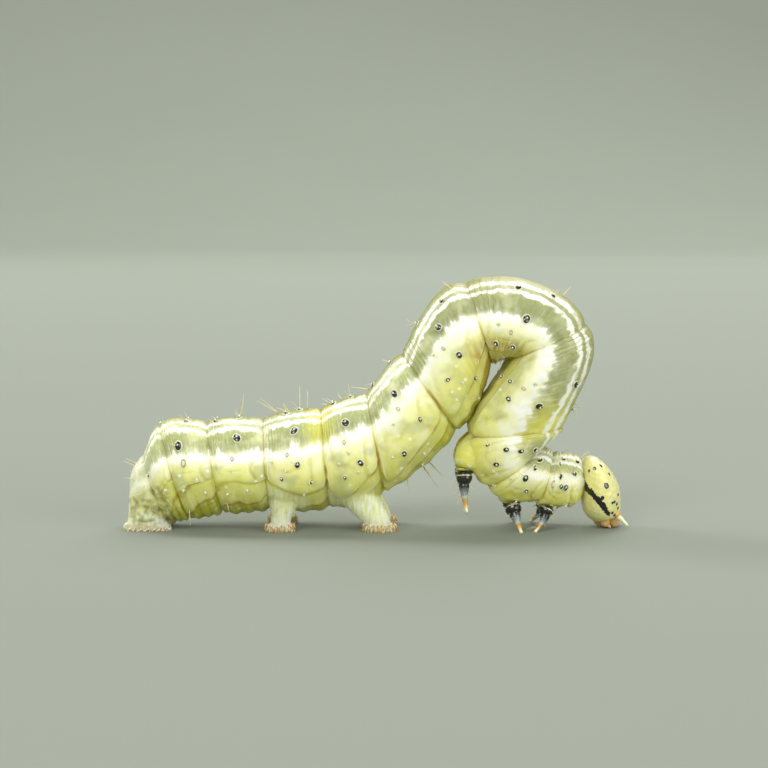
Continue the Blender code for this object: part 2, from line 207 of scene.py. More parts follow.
class LarvaColours(bpy.types.PropertyGroup):
    """Colours of the larva, as they are seen; some also carry painted shade, highlights and glints."""

    white: colour_property("White", "#FBFCEE", "White lines and band")
    back: colour_property("Back", "#BCBF8F", "Skin between the white lines")
    flank: colour_property("Flank", "#B3B886", "Clear grey-green skin of the upper flank")
    plate: colour_property("Plate", "#EEEC9E", "Cream plates along the lower flank")
    cream: colour_property("Cream", "#F3F3C6", "Milky upper part of the plates")
    belly: colour_property("Belly", "#C3C644", "Yellow-green skin under the body")
    fat: colour_property("Fat", "#E8E24A", "Yellow that shows through at some rings")
    # midline is the real olive line down the back and also painted shade: the dark rim where the back is
    # seen edge on, and the loop's olive crest
    midline: colour_property("Midline", "#8F8749", "Olive line down the middle of the back")
    limb: colour_property("Limb", "#E6EABC", "Clear skin of the soft legs")
    tail: colour_property("Tail", "#D3D6BC", "Greyish skin at the tail")
    sole: colour_property("Sole", "#EBD3A4", "Cream soles of the soft legs")
    mouth: colour_property("Mouth", "#DDA940", "Mouthparts")
    # golden is painted shade under the plate edges, along the lip of the fold below them, in the belly's
    # pleats, in the rays under the loop and in the folds and rings; it is also the real colour of the
    # breathing holes' rims and of part of each jointed leg
    golden: colour_property("Golden", "#B59A3C", "Golden shade under the edges of the plates")
    # fold is painted shade in the fine wrinkles behind the rings; it is also the real dark of the gut
    # seen through the clear skin, of a band down the back, of a patch low on the tail and of the net of
    # cells on the head
    fold: colour_property("Fold", "#8B8B3C", "Depth of the folds")
    head: colour_property("Head", "#ECE793", "Pale horn of the head")
    ink: colour_property("Ink", "#17121C", "Spots and the stripe on the head")
    # halo is painted as a pale highlight line along the edge of each plate; it is also the real pale of
    # the head's mottling, of the rings and tips of the jointed legs and of the cream hooks
    halo: colour_property("Halo", "#F4F0B8", "Pale rim round each spot")
    leg: colour_property("Leg", "#191A12", "Dark horn of the jointed legs")
    amber: colour_property("Amber", "#CF9440", "Feet and hooks")
    bristle: colour_property("Bristle", "#CBB67A", "Bristles")
    floor: colour_property("Floor", "#858B7F", "Studio floor and backdrop")


def sizes():
    return bpy.context.scene.larva_sizes


def colours():
    return bpy.context.scene.larva_colours


# The body's shape

def headings(points):
    """Unit directions of an outline at its points."""
    last = len(points) - 1
    steps = np.array([points[min(n + 1, last)] - points[max(n - 1, 0)] for n in range(last + 1)])
    return steps / np.linalg.norm(steps, axis=1)[:, None]


BACK_HEADINGS, BELLY_HEADINGS = headings(BACKS), headings(BELLIES)


def outline(points, directions, i, u):
    """Points of an outline at the share u of segment i."""
    start, end = points[i], points[i + 1]
    reach = np.linalg.norm(end - start, axis=1)[:, None]
    u = u[:, None]
    return (
        start * ((1 + 2 * u) * (1 - u) ** 2)
        + directions[i] * (u * (1 - u) ** 2 * reach)
        + end * (u * u * (3 - 2 * u))
        + directions[i + 1] * (u * u * (u - 1) * reach)
    )


def band_edges(t):
    """Degrees of the five band edges at places t along the body, arched within each segment."""
    middles = np.arange(SEGMENTS) + 0.5
    edges = np.stack([np.interp(t, middles, BANDS[:, n]) for n in range(5)], axis=1)
    off_middle = np.abs(2 * (t - np.floor(t)) - 1)[:, None]
    arching = np.array([(2.0, 5.0, 1.0, 0.0, -4.0)])
    return edges + arching * off_middle ** 2.2


def band_place(t, degrees):
    """Place across the markings: 0 on the back, 1 and 2 at the white lines, 3 and 4 at the
    white band, 5 at the plate's edge and 6 under the belly."""
    edges = band_edges(t)
    stops = np.concatenate([np.zeros((len(t), 1)), edges, np.full((len(t), 1), 180.0)], axis=1)
    place = np.zeros(len(t))
    for n in range(6):
        low, high = stops[:, n], stops[:, n + 1]
        inside = (degrees >= low) & (degrees <= high)
        place[inside] = (n + (degrees - low) / (high - low))[inside]
    return place


def smooth_step(low, high, value):
    share = np.clip((value - low) / (high - low), 0.0, 1.0)
    return share * share * (3 - 2 * share)


def hump(value, middle, spread):
    return np.exp(-((value - middle) / spread) ** 2)


# How far each segment's flank plate is set off from its neighbours, and how its lower edge slopes
PLATES = np.array((
    (0.5, 0.1), (0.0, 0.3), (0.0, 0.35), (0.4, 0.2), (1.0, 0.0), (1.0, 0.50), (1.0, 0.45),
    (1.0, 0.3), (0.95, 0.1), (0.95, -0.2), (0.95, 0.2), (0.8, 0.1), (0.4, 0.0),
))


def plate_reach(i, u, place):
    """How far out of the middle of its flank plate a place lies: 1 is the plate's edge."""
    apart, slope = PLATES[i, 0], PLATES[i, 1]
    place = place + slope * (u - 0.4) * 1.3 + 0.06 * np.sin(u * 8 + 1.7 * i)
    down = np.clip((place - 3.5) / 1.5, 0, None)
    back = np.clip((0.60 - u) / 0.585, 0, None) * apart
    ahead = np.clip((u - 0.60) / 0.41, 0, None) * apart
    return (down ** 12 + back ** 12 + ahead ** 12) ** (1 / 12)


def lower_reach(i, u, place):
    """The same for the softer fold that hangs out from under each plate."""
    return plate_reach(i, np.clip(0.05 + 0.95 * u + 0.03 * np.sin(place * 6), 0, 1), place - 0.45)


def fold_lines(i, u, place):
    """Share of the depth of the thin folds that cross the plates: in front, below and behind."""
    sway = 0.02 * np.sin(place * 5 + 1.3 * i)
    front = hump(u, 0.75 + 0.10 * ((place - 4.2) / 0.7) ** 2 + sway, 0.032)
    front = front * smooth_step(3.5, 3.8, place) * (1 - smooth_step(4.6, 4.9, place))
    lip = hump(place, 4.45 - 0.3 * np.sin(math.pi * u) + 0.05 * np.sin(u * 20), 0.06)
    lip = lip * hump(u, 0.38, 0.17)
    rear = hump(u, 0.13 + 0.05 * np.sin(place * 2.2 + i), 0.026) * hump(place, 3.9, 0.6)
    return np.clip(front + 0.7 * lip + 0.8 * rear, 0, 1)


def relief(i, u, t, degrees):
    """Folds, plates and wrinkles of the skin, as millimetres out of the plain body."""
    place = band_place(t, degrees)
    length = np.linalg.norm((BACKS[i + 1] + BELLIES[i + 1] - BACKS[i] - BELLIES[i]) / 2, axis=1)
    to_ring = np.minimum(u, 1 - u) * length
    upper = 1 - smooth_step(2.9, 3.4, place)
    crease = -0.12 * (1 - 0.4 * upper) * (0.4 + 0.6 * smooth_step(1.2, 2.6, t))
    rise = crease * np.exp(-(to_ring / 0.09) ** 2)
    # narrow ridges behind each ring, and a second fold further forwards
    rise += 0.022 * np.cos(u * length / 0.19 * 2 * math.pi) * (1 - smooth_step(0.2, 0.34, u)) * upper
    rise += -0.045 * hump(u, 0.71 + 0.02 * np.sin(degrees / 9), 0.025) * upper
    # the white band is puckered along its upper edge
    pucker = np.cos(u * length / 0.36 * 2 * math.pi + 2.1 * i)
    rise += 0.035 * pucker * hump(place, 3.15, 0.35)
    # band and plate stand out together and end in a steep edge at the rear and below
    reach = plate_reach(i, u, place)
    built = smooth_step(0.9, 2.4, t)
    rise += 0.20 * built * smooth_step(2.75, 3.7, place) * (1 - smooth_step(0.92, 1.0, reach))
    below = lower_reach(i, u, place)
    rise += 0.08 * built * smooth_step(4.5, 5.0, place) * (1 - smooth_step(0.94, 1.0, below))
    rise += -0.12 * built * fold_lines(i, u, place)
    # the tail is baggy round the claspers
    baggy = (1 - smooth_step(0.8, 1.9, t)) * smooth_step(3.4, 4.4, place)
    rise += 0.07 * baggy * np.sin(9 * t + 0.05 * degrees) * np.sin(0.10 * degrees + 3 * t)
    # loose folds under the belly
    rise += 0.05 * np.cos(u * 2 * math.pi * 3.5 + 0.5) * smooth_step(5.05, 5.4, place)
    # the belly is gathered into pleats inside the loop
    gathers = sum(hump(t, middle, 0.028) for middle in (7.66, 7.83, 8.2, 8.45, 8.68, 8.86))
    rise += -0.08 * gathers * smooth_step(4.2, 4.9, place)
    # the thorax has loose folds round it and along its flank
    thorax = smooth_step(9.9, 10.3, t)
    rise += -0.07 * thorax * hump(u, 0.30 + 0.05 * np.sin(place * 2.2 + i), 0.035)
    rise += -0.06 * thorax * hump(u, 0.72 - 0.06 * np.sin(place * 2.6 + i), 0.035)
    rise += -0.05 * thorax * hump(place, 4.3 + 0.3 * np.sin(6 * u + i), 0.10)
    # low uneven lumps
    rise += 0.016 * np.sin(7.3 * t + 0.11 * degrees) * np.sin(0.15 * degrees - 4.1 * t)
    return rise


def tail_closing(t):
    """The tail rounds off over part of the last segment."""
    return np.sqrt(np.clip(1 - (1 - np.clip(t / 0.42, 0, 1)) ** 2, 0, 1))


def body_points(t, degrees, side):
    """Points on the skin at places t along the body, degrees round from the back."""
    t, degrees = np.broadcast_arrays(np.asarray(t, float), np.asarray(degrees, float))
    t, degrees = t.ravel(), degrees.ravel()
    i = np.clip(np.floor(t).astype(int), 0, SEGMENTS - 1)
    u = np.clip(t - i, 0.0, 1.0)
    back = outline(BACKS, BACK_HEADINGS, i, u)
    belly = outline(BELLIES, BELLY_HEADINGS, i, u)
    blend = u * u * (3 - 2 * u)
    half_width = HALF_WIDTHS[i] * (1 - blend) + HALF_WIDTHS[i + 1] * blend
    middle, up = (back + belly) / 2, back - belly
    depth = np.linalg.norm(up, axis=1)
    up = up / depth[:, None]
    angle = np.radians(degrees)
    c, s = np.cos(angle), np.sin(angle)
    swell = 1 - np.abs(2 * u - 1) ** 2.6
    at_back, at_flank, at_belly = SWELLS[i].T
    out = at_back * np.maximum(c, 0) ** 2 + at_flank * s * s + at_belly * np.minimum(c, 0) ** 2
    out = (out + 0.10 * hump(degrees, 100, 24)) * swell
    # the two limbs of the loop press their bellies together
    pressed = 0.24 * hump(t, 7.58, 0.36) + 0.24 * hump(t, 9.58, 0.26) + 0.10 * hump(t, 9.12, 0.18)
    out = out + pressed * np.minimum(c, 0) ** 2 + relief(i, u, t, degrees)
    closing = tail_closing(t)
    neck = smooth_step(SEGMENTS, SEGMENTS + 0.2, t)
    closing = closing * (1 - 0.75 * neck)
    forward = np.stack([up[:, 1], -up[:, 0]], axis=1) * (0.45 * neck)[:, None]
    middle = middle + forward
    reach_up, reach_side = (depth / 2 + out) * closing, (half_width + out) * closing
    x = middle[:, 0] + up[:, 0] * c * reach_up
    z = middle[:, 1] + up[:, 1] * c * reach_up
    return np.stack([x, np.asarray(side) * s * reach_side, z], axis=1)


def skin_place(t, degrees, side):
    """A point of the skin with its outward direction and the direction towards the head."""
    step = 0.02
    points = body_points([t, t + step, t], [degrees, degrees, degrees + 1], side)
    here, ahead, round_to = (Vector(p) for p in points)
    forwards = (ahead - here).normalized()
    around = (round_to - here).normalized()
    outward = forwards.cross(around) * side
    return here, outward.normalized(), forwards


# Modelling helpers

def deselect():
    if bpy.context.object and bpy.context.object.mode != "OBJECT":
        bpy.ops.object.mode_set(mode="OBJECT")
    bpy.ops.object.select_all(action="DESELECT")


def activate(piece):
    deselect()
    piece.select_set(True)
    bpy.context.view_layer.objects.active = piece


def rolled(name, lengthwise, around, place):
    """A closed form rolled from a flat sheet. place turns shares along and round it into points."""
    deselect()
    bpy.ops.mesh.primitive_grid_add(x_subdivisions=lengthwise, y_subdivisions=around, size=2)
    piece = bpy.context.object
    piece.name = piece.data.name = name
    flat = np.empty(len(piece.data.vertices) * 3, np.float32)
    piece.data.vertices.foreach_get("co", flat)
    flat = flat.reshape(-1, 3).astype(float)
    points = place((flat[:, 0] + 1) / 2, (flat[:, 1] + 1) / 2)
    piece.data.vertices.foreach_set("co", np.asarray(points, np.float32).ravel())
    bpy.ops.object.mode_set(mode="EDIT")
    bpy.ops.mesh.select_all(action="SELECT")
    bpy.ops.mesh.remove_doubles(threshold=1e-4)
    bpy.ops.mesh.fill_holes(sides=0)
    bpy.ops.mesh.select_all(action="SELECT")
    bpy.ops.mesh.normals_make_consistent(inside=False)
    bpy.ops.object.mode_set(mode="OBJECT")
    bpy.ops.object.shade_smooth()
    return piece


def finish_piece(piece, look, nodes=()):
    """Turns a piece to metres, gives it its finish, hangs it from the frame's first body and hides the
    frame's parts that it stands for.
    """
    for vertex in piece.data.vertices:
        vertex.co.z = max(vertex.co.z, 0.0)
    piece.data.transform(Matrix.Scale(MM, 4) @ Matrix.Translation((-MIDDLE, 0.0, 0.0)))
    piece.data.materials.clear()
    piece.data.materials.append(look)
    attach(piece, next(iter(frame["bodies"])))
    if nodes:
        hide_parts(*nodes)
    return piece


def attribute(piece, name, values):
    field = piece.data.attributes.new(name, "FLOAT", "POINT")
    field.data.foreach_set("value", np.asarray(values, np.float32))


def scatter(name, template, copies):
    """One piece of many copies of a template. Each copy is (4x4 matrix, bend, bake place)."""
    count = len(template.data.vertices)
    base = np.empty(count * 3, np.float32)
    template.data.vertices.foreach_get("co", base)
    base = base.reshape(-1, 3).astype(float)
    faces = [tuple(face.vertices) for face in template.data.polygons]
    points, all_faces, bake = [], [], []
    for n, (matrix, bend, spot) in enumerate(copies):
        bent = base.copy()
        bent[:, 0] += bend * base[:, 2] ** 2
        turned = bent @ np.array(matrix.to_3x3()).T + np.array(matrix.translation)
        points.append(turned)
        all_faces += [tuple(v + n * count for v in face) for face in faces]
        local = (base[:, :2] - base[:, :2].min(0)) / max(np.ptp(base[:, :2]), 1e-9)
        bake.append(np.array(spot) + 0.003 * local)
    bpy.data.objects.remove(template)
    mesh = bpy.data.meshes.new(name)
    mesh.from_pydata(np.concatenate(points).tolist(), [], all_faces)
    mesh.shade_smooth()
    layer = mesh.uv_layers.new(name="OFBake")
    corners = np.empty(len(mesh.loops), np.int32)
    mesh.loops.foreach_get("vertex_index", corners)
    layer.data.foreach_set("uv", np.concatenate(bake)[corners].astype(np.float32).ravel())
    piece = bpy.data.objects.new(name, mesh)
    bpy.context.scene.collection.objects.link(piece)
    return piece


def stand(point, outward, forwards, scale):
    """A matrix that stands a template at a point with its Z axis outwards and X forwards."""
    z = outward.normalized()
    y = z.cross(forwards).normalized()
    x = y.cross(z)
    turn = Matrix((x, y, z)).transposed().to_4x4()
    return Matrix.Translation(point) @ turn @ Matrix.Diagonal((*scale, 1.0))


def bake_place(t, degrees, side):
    """Where a root lies on an unwrap of the skin: along the body and round it."""
    return (0.02 + 0.95 * t / SEGMENTS, 0.5 + side * 0.47 * degrees / 180)


# Finishes

def add(tree, kind, inputs=(), out=0, stops=(), **settings):
    """Adds a shader node with its settings, sets or links its inputs, and gives one output."""
    made = tree.nodes.new("ShaderNode" + kind)
    for key, setting in settings.items():
        setattr(made, key, setting)
    for key, given in inputs.items() if isinstance(inputs, dict) else enumerate(inputs):
        if isinstance(given, bpy.types.NodeSocket):
            tree.links.new(given, made.inputs[key])
        else:
            made.inputs[key].default_value = given
    if stops:
        points = made.color_ramp.elements
        while len(points) < len(stops):
            points.new(1.0)
        for point, (place, tint) in zip(points, stops):
            point.position = place
            point.color = tint
    return made.outputs[out]


def finish(name, **constants):
    """A new material with the constants set on its shader's own sockets."""
    look = bpy.data.materials.new(name)
    look.use_nodes = True
    shader = look.node_tree.nodes["Principled BSDF"]
    for key, constant in constants.items():
        shader.inputs[key.replace("_", " ")].default_value = constant
    return look, look.node_tree, shader


def patterns(tree, attributes=(), noises=(), cells=()):
    """Named values to paint by: fields of the mesh, and noises and cells with their size in mm."""
    where = add(tree, "TexCoord", out="Object")
    value = {"where": where}
    for name in attributes:
        value[name] = add(tree, "Attribute", out="Fac", attribute_name=name)
    for name, size, detail in noises:
        inputs = {"Vector": where, "Scale": 1 / (size * MM), "Detail": detail}
        value[name] = add(tree, "TexNoise", inputs)
    for name, size in cells:
        value[name] = add(tree, "TexVoronoi", {"Vector": where, "Scale": 1 / (size * MM)})
    return value


def held(tree, value, conditions, strength=1.0):
    """How far all conditions hold at once, times a strength.

    A condition is the name of a value, which counts as it is, or a name with the value where the
    share is 0 and the one where it is 1, and two other shares where 0 and 1 aren't meant.
    """
    share = strength
    for name, *span in conditions:
        part = value[name]
        if span:
            inputs = (part, *span, 0.0, 1.0)[:5]
            part = add(tree, "MapRange", inputs, interpolation_type="SMOOTHSTEP")
        share = add(tree, "Math", (share, part), operation="MULTIPLY")
    return share


def work_out(tree, value, rows):
    """Adds values by name, each as (name, sum, terms) or as (name, conditions that hold)."""
    for name, first, *rest in rows:
        if isinstance(first, str):
            terms = [value.get(term, term) for term in rest]
            value[name] = add(tree, "Math", terms, operation=first)
        else:
            value[name] = held(tree, value, (first, *rest))


def layered(tree, value, colour, layers):
    """Lays tints over a colour in order: each is (tint, strength, conditions of where it shows)."""
    for tint, strength, *conditions in layers:
        share = held(tree, value, conditions, strength)
        colour = add(tree, "Mix", {0: share, 6: colour, 7: tint}, 2, data_type="RGBA")
    return colour


def wire(tree, shader, colour, height, depth, strength, roughness=None):
    """Links colour, roughness and a relief with its depth in mm to the shader."""
    inputs = {"Height": height, "Distance": depth * MM, "Strength": strength}
    made = {"Base Color": colour, "Normal": add(tree, "Bump", inputs), "Roughness": roughness}
    for name, given in made.items():
        if given is not None:
            tree.links.new(given, shader.inputs[name])


def shade_of(tint, times, plus=0.0):
    """A lighter or darker shade of a tint."""
    return tuple(c * times + plus for c in tint[:3]) + (1.0,)


def skin_finish():
    """Cuticle of a living larva: thin, moist and clear, grown over pale fat."""
    # light goes in deep and the fat glows; the wet surface gives a soft dull sheen
    tints = colours()
    look, tree, shader = finish(
        "larva cuticle", Roughness=0.4, IOR=1.40, Specular_IOR_Level=0.28, Subsurface_Weight=0.9,
        Subsurface_Scale=2.2 * MM, Subsurface_Radius=(1.0, 0.95, 0.45), Coat_Weight=0.08,
        Coat_Roughness=0.12,
    )
    value = patterns(
        tree, ("bands", "along", "limb", "plate", "lower_plate", "folds"),
        (
            ("rough", 0.34, 3.0), ("mottle", sizes().speckle_size / MM, 4.0), ("cloud", 1.1, 3.0),
            ("haze", 1.3, 2.0), ("patches", 0.7, 2.0), ("gaps", 0.8, 2.0), ("parts", 0.9, 1.0),
            ("murk", 0.32, 5.0), ("fine", 0.45, 3.0),
        ),
        (("cells", sizes().scallop_size / MM), ("dots", 0.62)),
    )
    for name, axis in (("x", 0), ("height", 2)):
        value[name] = add(tree, "SeparateXYZ", (value["where"],), axis)
    # streaks are fine one way and long the other; a segment of about 2.9 mm holds 13 ruffles of
    # 0.22 mm, 34 smears of 0.09 mm or 14 rays of 0.2 mm, and a muscle is 0.13 mm thick
    for name, *ways in (
        ("ruffle", ("along", 13.0), ("bands", 0.8)),
        ("inside", ("along", 34.0), ("bands", 1.3)),
        ("ray", ("along", 14.0), ("bands", 0.5)),
        ("muscle", ("x", 1 / (0.13 * MM)), ("height", 1 / (0.8 * MM))),
    ):
        drawn = [add(tree, "Math", (value[way], n), operation="MULTIPLY") for way, n in ways]
        inputs = {"Vector": add(tree, "CombineXYZ", drawn), "Scale": 1.0, "Detail": 2.0}
        value[name] = add(tree, "TexNoise", inputs)
    work_out(tree, value, (
        ("waver", "SUBTRACT", "rough", 0.5),
        ("wavy", "MULTIPLY_ADD", "waver", 0.45, "bands"),
        ("round", "DIVIDE", "wavy", 6.0),
        ("clear", ("bands", 3.2, 2.9)),
        ("low", ("bands", 3.6, 4.0)),
        ("off_plate", ("plate", 0.97, 1.03, 0.0, 0.85), ("low",)),
        # pleats inside the loop, 0.35 mm apart, and fine wrinkles behind the rings, 0.14 mm apart
        ("pleats", "MULTIPLY", "along", 52.0),
        ("pleats", "MULTIPLY_ADD", "waver", 9.0, "pleats"),
        ("pleats", "SINE", "pleats"),
        ("lines", "MULTIPLY", "along", 21 * 2 * math.pi),
        ("lines", "MULTIPLY_ADD", "waver", 7.0, "lines"),
        ("lines", "SINE", "lines"),
        ("share", "FRACT", "along"),
        ("wrinkles", ("lines", 0.55, 0.95), ("share", 0.30, 0.16), ("clear",)),
        # how far a place is from the edges of plate and fold, and from rings that show yellow
        ("edge", "MULTIPLY_ADD", "waver", 0.05, "plate"),
        ("off_edge", "SUBTRACT", "edge", 1.0),
        ("off_edge", "ABSOLUTE", "off_edge"),
        ("off_rim", "SUBTRACT", "edge", 0.94),
        ("off_rim", "ABSOLUTE", "off_rim"),
        ("off_lip", "SUBTRACT", "lower_plate", 1.0),
        ("off_lip", "ABSOLUTE", "off_lip"),
        ("ringed", "MULTIPLY_ADD", "waver", 0.35, "along"),
        ("off_rear_ring", "SUBTRACT", "ringed", 5.0),
        ("off_rear_ring", "ABSOLUTE", "off_rear_ring"),
        ("off_fore_ring", "SUBTRACT", "ringed", 9.95),
        ("off_fore_ring", "ABSOLUTE", "off_fore_ring"),
        # the white lines, torn and broken, and the ruffled white band
        ("lobes", "SUBTRACT", 0.42, "cells"),
        ("ruffles", "SUBTRACT", "ruffle", 0.5),
        ("torn", "MULTIPLY_ADD", "ruffles", 0.40, "wavy"),
        ("broken", ("gaps", 0.33, 0.50, 0.35, 1.0)),
        ("upper_line", ("torn", 0.76, 0.90), ("torn", 1.32, 1.12), ("broken",)),
        ("lower_line", ("torn", 1.62, 1.80), ("torn", 2.16, 2.03), ("broken",)),
        ("lobed", "MULTIPLY_ADD", "lobes", 0.45, "bands"),
        ("lobed", "MULTIPLY_ADD", "ruffles", 1.3, "lobed"),
        ("full", ("lobed", 2.93, 3.08, 0.0, 0.7)),
        ("thin", ("lobed", 2.55, 3.1, 0.0, 0.3)),
        ("both", "ADD", "full", "thin"),
        ("drift", "SUBTRACT", "cloud", 0.5),
        ("fading", "MULTIPLY_ADD", "drift", 1.6, "bands"),
        ("band", ("both",), ("fading", 3.95, 3.15), ("along", 9.9, 10.7, 1.0, 0.6)),
        ("white", "MAXIMUM", "upper_line", "lower_line"),
        ("white", "MAXIMUM", "white", "band"),
        ("on_body", "SUBTRACT", 1.0, "limb"),
        # painted golden shade in the folds and along the rings
        ("at_ring", "SUBTRACT", "share", 0.5),
        ("at_ring", "ABSOLUTE", "at_ring"),
        ("at_ring", "MULTIPLY_ADD", "waver", 0.02, "at_ring"),
        ("ring", ("at_ring", 0.478, 0.494), ("on_body",), ("bands", 2.8, 4.6, 0.25, 0.6)),
        ("crease", "MULTIPLY", "folds", 0.35),
        ("crease", "MAXIMUM", "ring", "crease"),
        # the fine relief, with the lobes of the band puffed up
        ("puffs", ("lobes",), ("bands", 2.5, 2.9), ("bands", 3.8, 3.3)),
        ("relief", "MULTIPLY", "wrinkles", -0.7),
        ("relief", "MULTIPLY_ADD", "mottle", 0.35, "relief"),
        ("relief", "MULTIPLY_ADD", "fine", 1.4, "relief"),
        ("relief", "MULTIPLY_ADD", "puffs", 3.0, "relief"),
        ("moist", ("mottle", 0.2, 0.8, 0.30, 0.48)),
        ("moist", "MULTIPLY_ADD", "limb", -0.14, "moist"),
    ))
    plain = add(tree, "ValToRGB", (value["round"],), stops=(
        (0.0, tints.back), (0.30, tints.back), (0.37, tints.flank), (0.48, tints.flank),
        (0.54, tints.cream), (0.60, tints.cream), (0.70, tints.plate), (0.88, tints.belly),
        (1.0, tints.belly),
    ))
    painted = layered(tree, value, plain, (
        (tints.fold, 0.30, ("mottle", 0.35, 0.75), ("clear",)),
        (tints.fold, 0.35, ("inside", 0.50, 0.72), ("clear",)),
        (tints.cream, 0.40, ("inside", 0.46, 0.28), ("clear",)),
        (tints.cream, 0.6, ("cloud", 0.48, 0.72)),
        (tints.flank, 0.55, ("haze", 0.46, 0.64), ("low",)),
        (tints.belly, 1.0, ("off_plate",)),
        (tints.plate, 0.55, ("patches", 0.45, 0.65), ("off_plate",)),
        (tints.plate, 0.6, ("along", 9.8, 10.5), ("bands", 2.4, 3.4)),
        (tints.fat, 0.5, ("along", 9.8, 10.3), ("wavy", 3.9, 4.8)),
        (tints.white, 0.75, ("dots", 0.19, 0.10), ("bands", 3.6, 4.2)),
        # painted shade: golden lines in the pleats under the belly
        (tints.golden, 0.35, ("pleats", 0.2, 0.95), ("bands", 4.9, 5.4)),
        # painted shade: golden rays in the pleated bend under the loop
        (tints.golden, 0.85, ("along", 7.3, 8.0), ("along", 9.1, 8.75), ("bands", 3.8, 4.6),
         ("ray", 0.40, 0.58, 0.35, 1.0)),
        # the fold that hangs out under the plate, with painted golden shade along its lip
        (tints.plate, 0.55, ("lower_plate", 1.02, 0.96), ("off_plate",)),
        (tints.golden, 0.75, ("off_lip", 0.035, 0.006), ("off_plate",)),
        # fat shows yellow through the clear skin at two of the rings
        (tints.fat, 0.55, ("off_rear_ring", 0.38, 0.0), ("bands", 3.6, 3.0)),
        (tints.fat, 0.55, ("off_fore_ring", 0.42, 0.0), ("bands", 3.6, 3.0)),
        (tints.fold, 0.5, ("wavy", 0.75, 0.35), ("along", 1.5, 3.0)),
        # the olive midline, partly the real line down the back and partly painted shade for the dark rim
        # where the back is seen edge on
        (tints.midline, 0.8, ("wavy", 0.50, 0.18)),
        # painted shade: the clear skin round the loop is darkened
        (shade_of(tints.flank, 0.6), 0.5, ("along", 6.9, 7.8), ("along", 9.9, 9.2), ("clear",)),
        # painted shade: the loop's crest, seen edge on, is darkened olive where the clear skin looks
        # thick
        (tints.midline, 0.75, ("wavy", 0.85, 0.30), ("along", 7.0, 8.0), ("along", 10.1, 9.7)),
        (tints.white, 0.96, ("white",), ("on_body",)),
        # painted highlight and shade: a pale line along the edge of each plate, and golden shade just
        # beyond it
        (tints.halo, 0.8, ("off_rim", 0.035, 0.008), ("low",), ("parts", 0.40, 0.60, 0.15, 1.0)),
        (tints.golden, 0.6, ("off_edge", 0.05, 0.01), ("low",), ("parts", 0.40, 0.60, 0.15, 1.0)),
        # painted shade in the fine wrinkles behind the rings
        (tints.fold, 0.55, ("wrinkles",)),
        # soft legs, with the muscles that show through them
        (tints.limb, 0.9, ("limb",)),
        (tints.white, 0.6, ("muscle", 0.50, 0.68), ("limb",)),
        (tints.belly, 0.5, ("muscle", 0.48, 0.30), ("limb",)),
        # the tail is pale, and murky where the claspers fold
        (tints.tail, 0.75, ("along", 1.9, 0.5), ("murk", 0.30, 0.60, 0.4, 1.0)),
        (tints.fold, 0.80, ("along", 2.1, 1.3), ("bands", 4.0, 4.8), ("murk", 0.34, 0.70)),
        (tints.sole, 0.7, ("height", 0.40 * MM, 0.16 * MM), ("limb",)),
        # painted shade in the folds and along the rings
        (tints.golden, 0.7, ("crease",)),
    ))
    wire(tree, shader, painted, value["relief"], 0.05, 0.6, value["moist"])
    return look


def horn_finish():
    """Horn of the head: thin and smooth like pale amber, with an ink stripe each side."""
    # it shines softly, light sinks in a little, and a faint net of cells shows
    tints = colours()
    look, tree, shader = finish(
        "head horn", Roughness=0.28, IOR=1.5, Subsurface_Weight=0.5, Subsurface_Scale=0.5 * MM,
        Subsurface_Radius=(1.0, 0.9, 0.4), Coat_Weight=0.3, Coat_Roughness=0.1,
    )
    noises = (("cloud", 0.5, 3.0), ("frayed", 0.12, 3.0))
    value = patterns(tree, ("stripe",), noises, (("net", 0.16),))
    work_out(tree, value, (
        ("ragged", "SUBTRACT", "frayed", 0.5),
        ("inked", "MULTIPLY_ADD", "ragged", 0.28, "stripe"),
    ))
    painted = layered(tree, value, tints.head, (
        (tints.halo, 0.6, ("cloud", 0.35, 0.7)),
        (tints.fold, 0.12, ("net", 0.3, 0.7)),
        (tints.ink, 1.0, ("inked", 0.02, -0.02)),
    ))
    wire(tree, shader, painted, value["net"], 0.012, 0.4)
    return look


def gloss_finish(name, tint, roughness, size, depth):
    """Hard black horn of spots and eyes."""
    # a wet gloss, with a fine unevenness that breaks the highlight
    look, tree, shader = finish(
        name, Roughness=roughness, IOR=1.5, Coat_Weight=0.9, Coat_Roughness=0.06
    )
    value = patterns(tree, noises=(("grains", size, 3.0),))
    painted = layered(tree, value, tint, ((shade_of(tint, 0.55), 1.0, ("grains", 0.3, 0.75)),))
    rough = held(tree, value, (("grains", 0.2, 0.8, roughness * 0.7, roughness * 1.4),))
    wire(tree, shader, painted, value["grains"], depth, 0.5, rough)
    return look


def clear_finish(name, tint, size):
    """Soft clear horn of bristles, hooks and mouthparts."""
    # it catches light all through, so it glows at its edges
    look, tree, shader = finish(
        name, Roughness=0.35, IOR=1.5, Subsurface_Weight=0.6, Subsurface_Scale=0.2 * MM,
        Subsurface_Radius=(1.0, 0.8, 0.5),
    )
    value = patterns(tree, noises=(("grains", size, 2.0),))
    pale = shade_of(tint, 0.7, 0.22)
    painted = layered(tree, value, tint, ((pale, 1.0, ("grains", 0.35, 0.7)),))
    wire(tree, shader, painted, value["grains"], 0.01, 0.3)
    return look


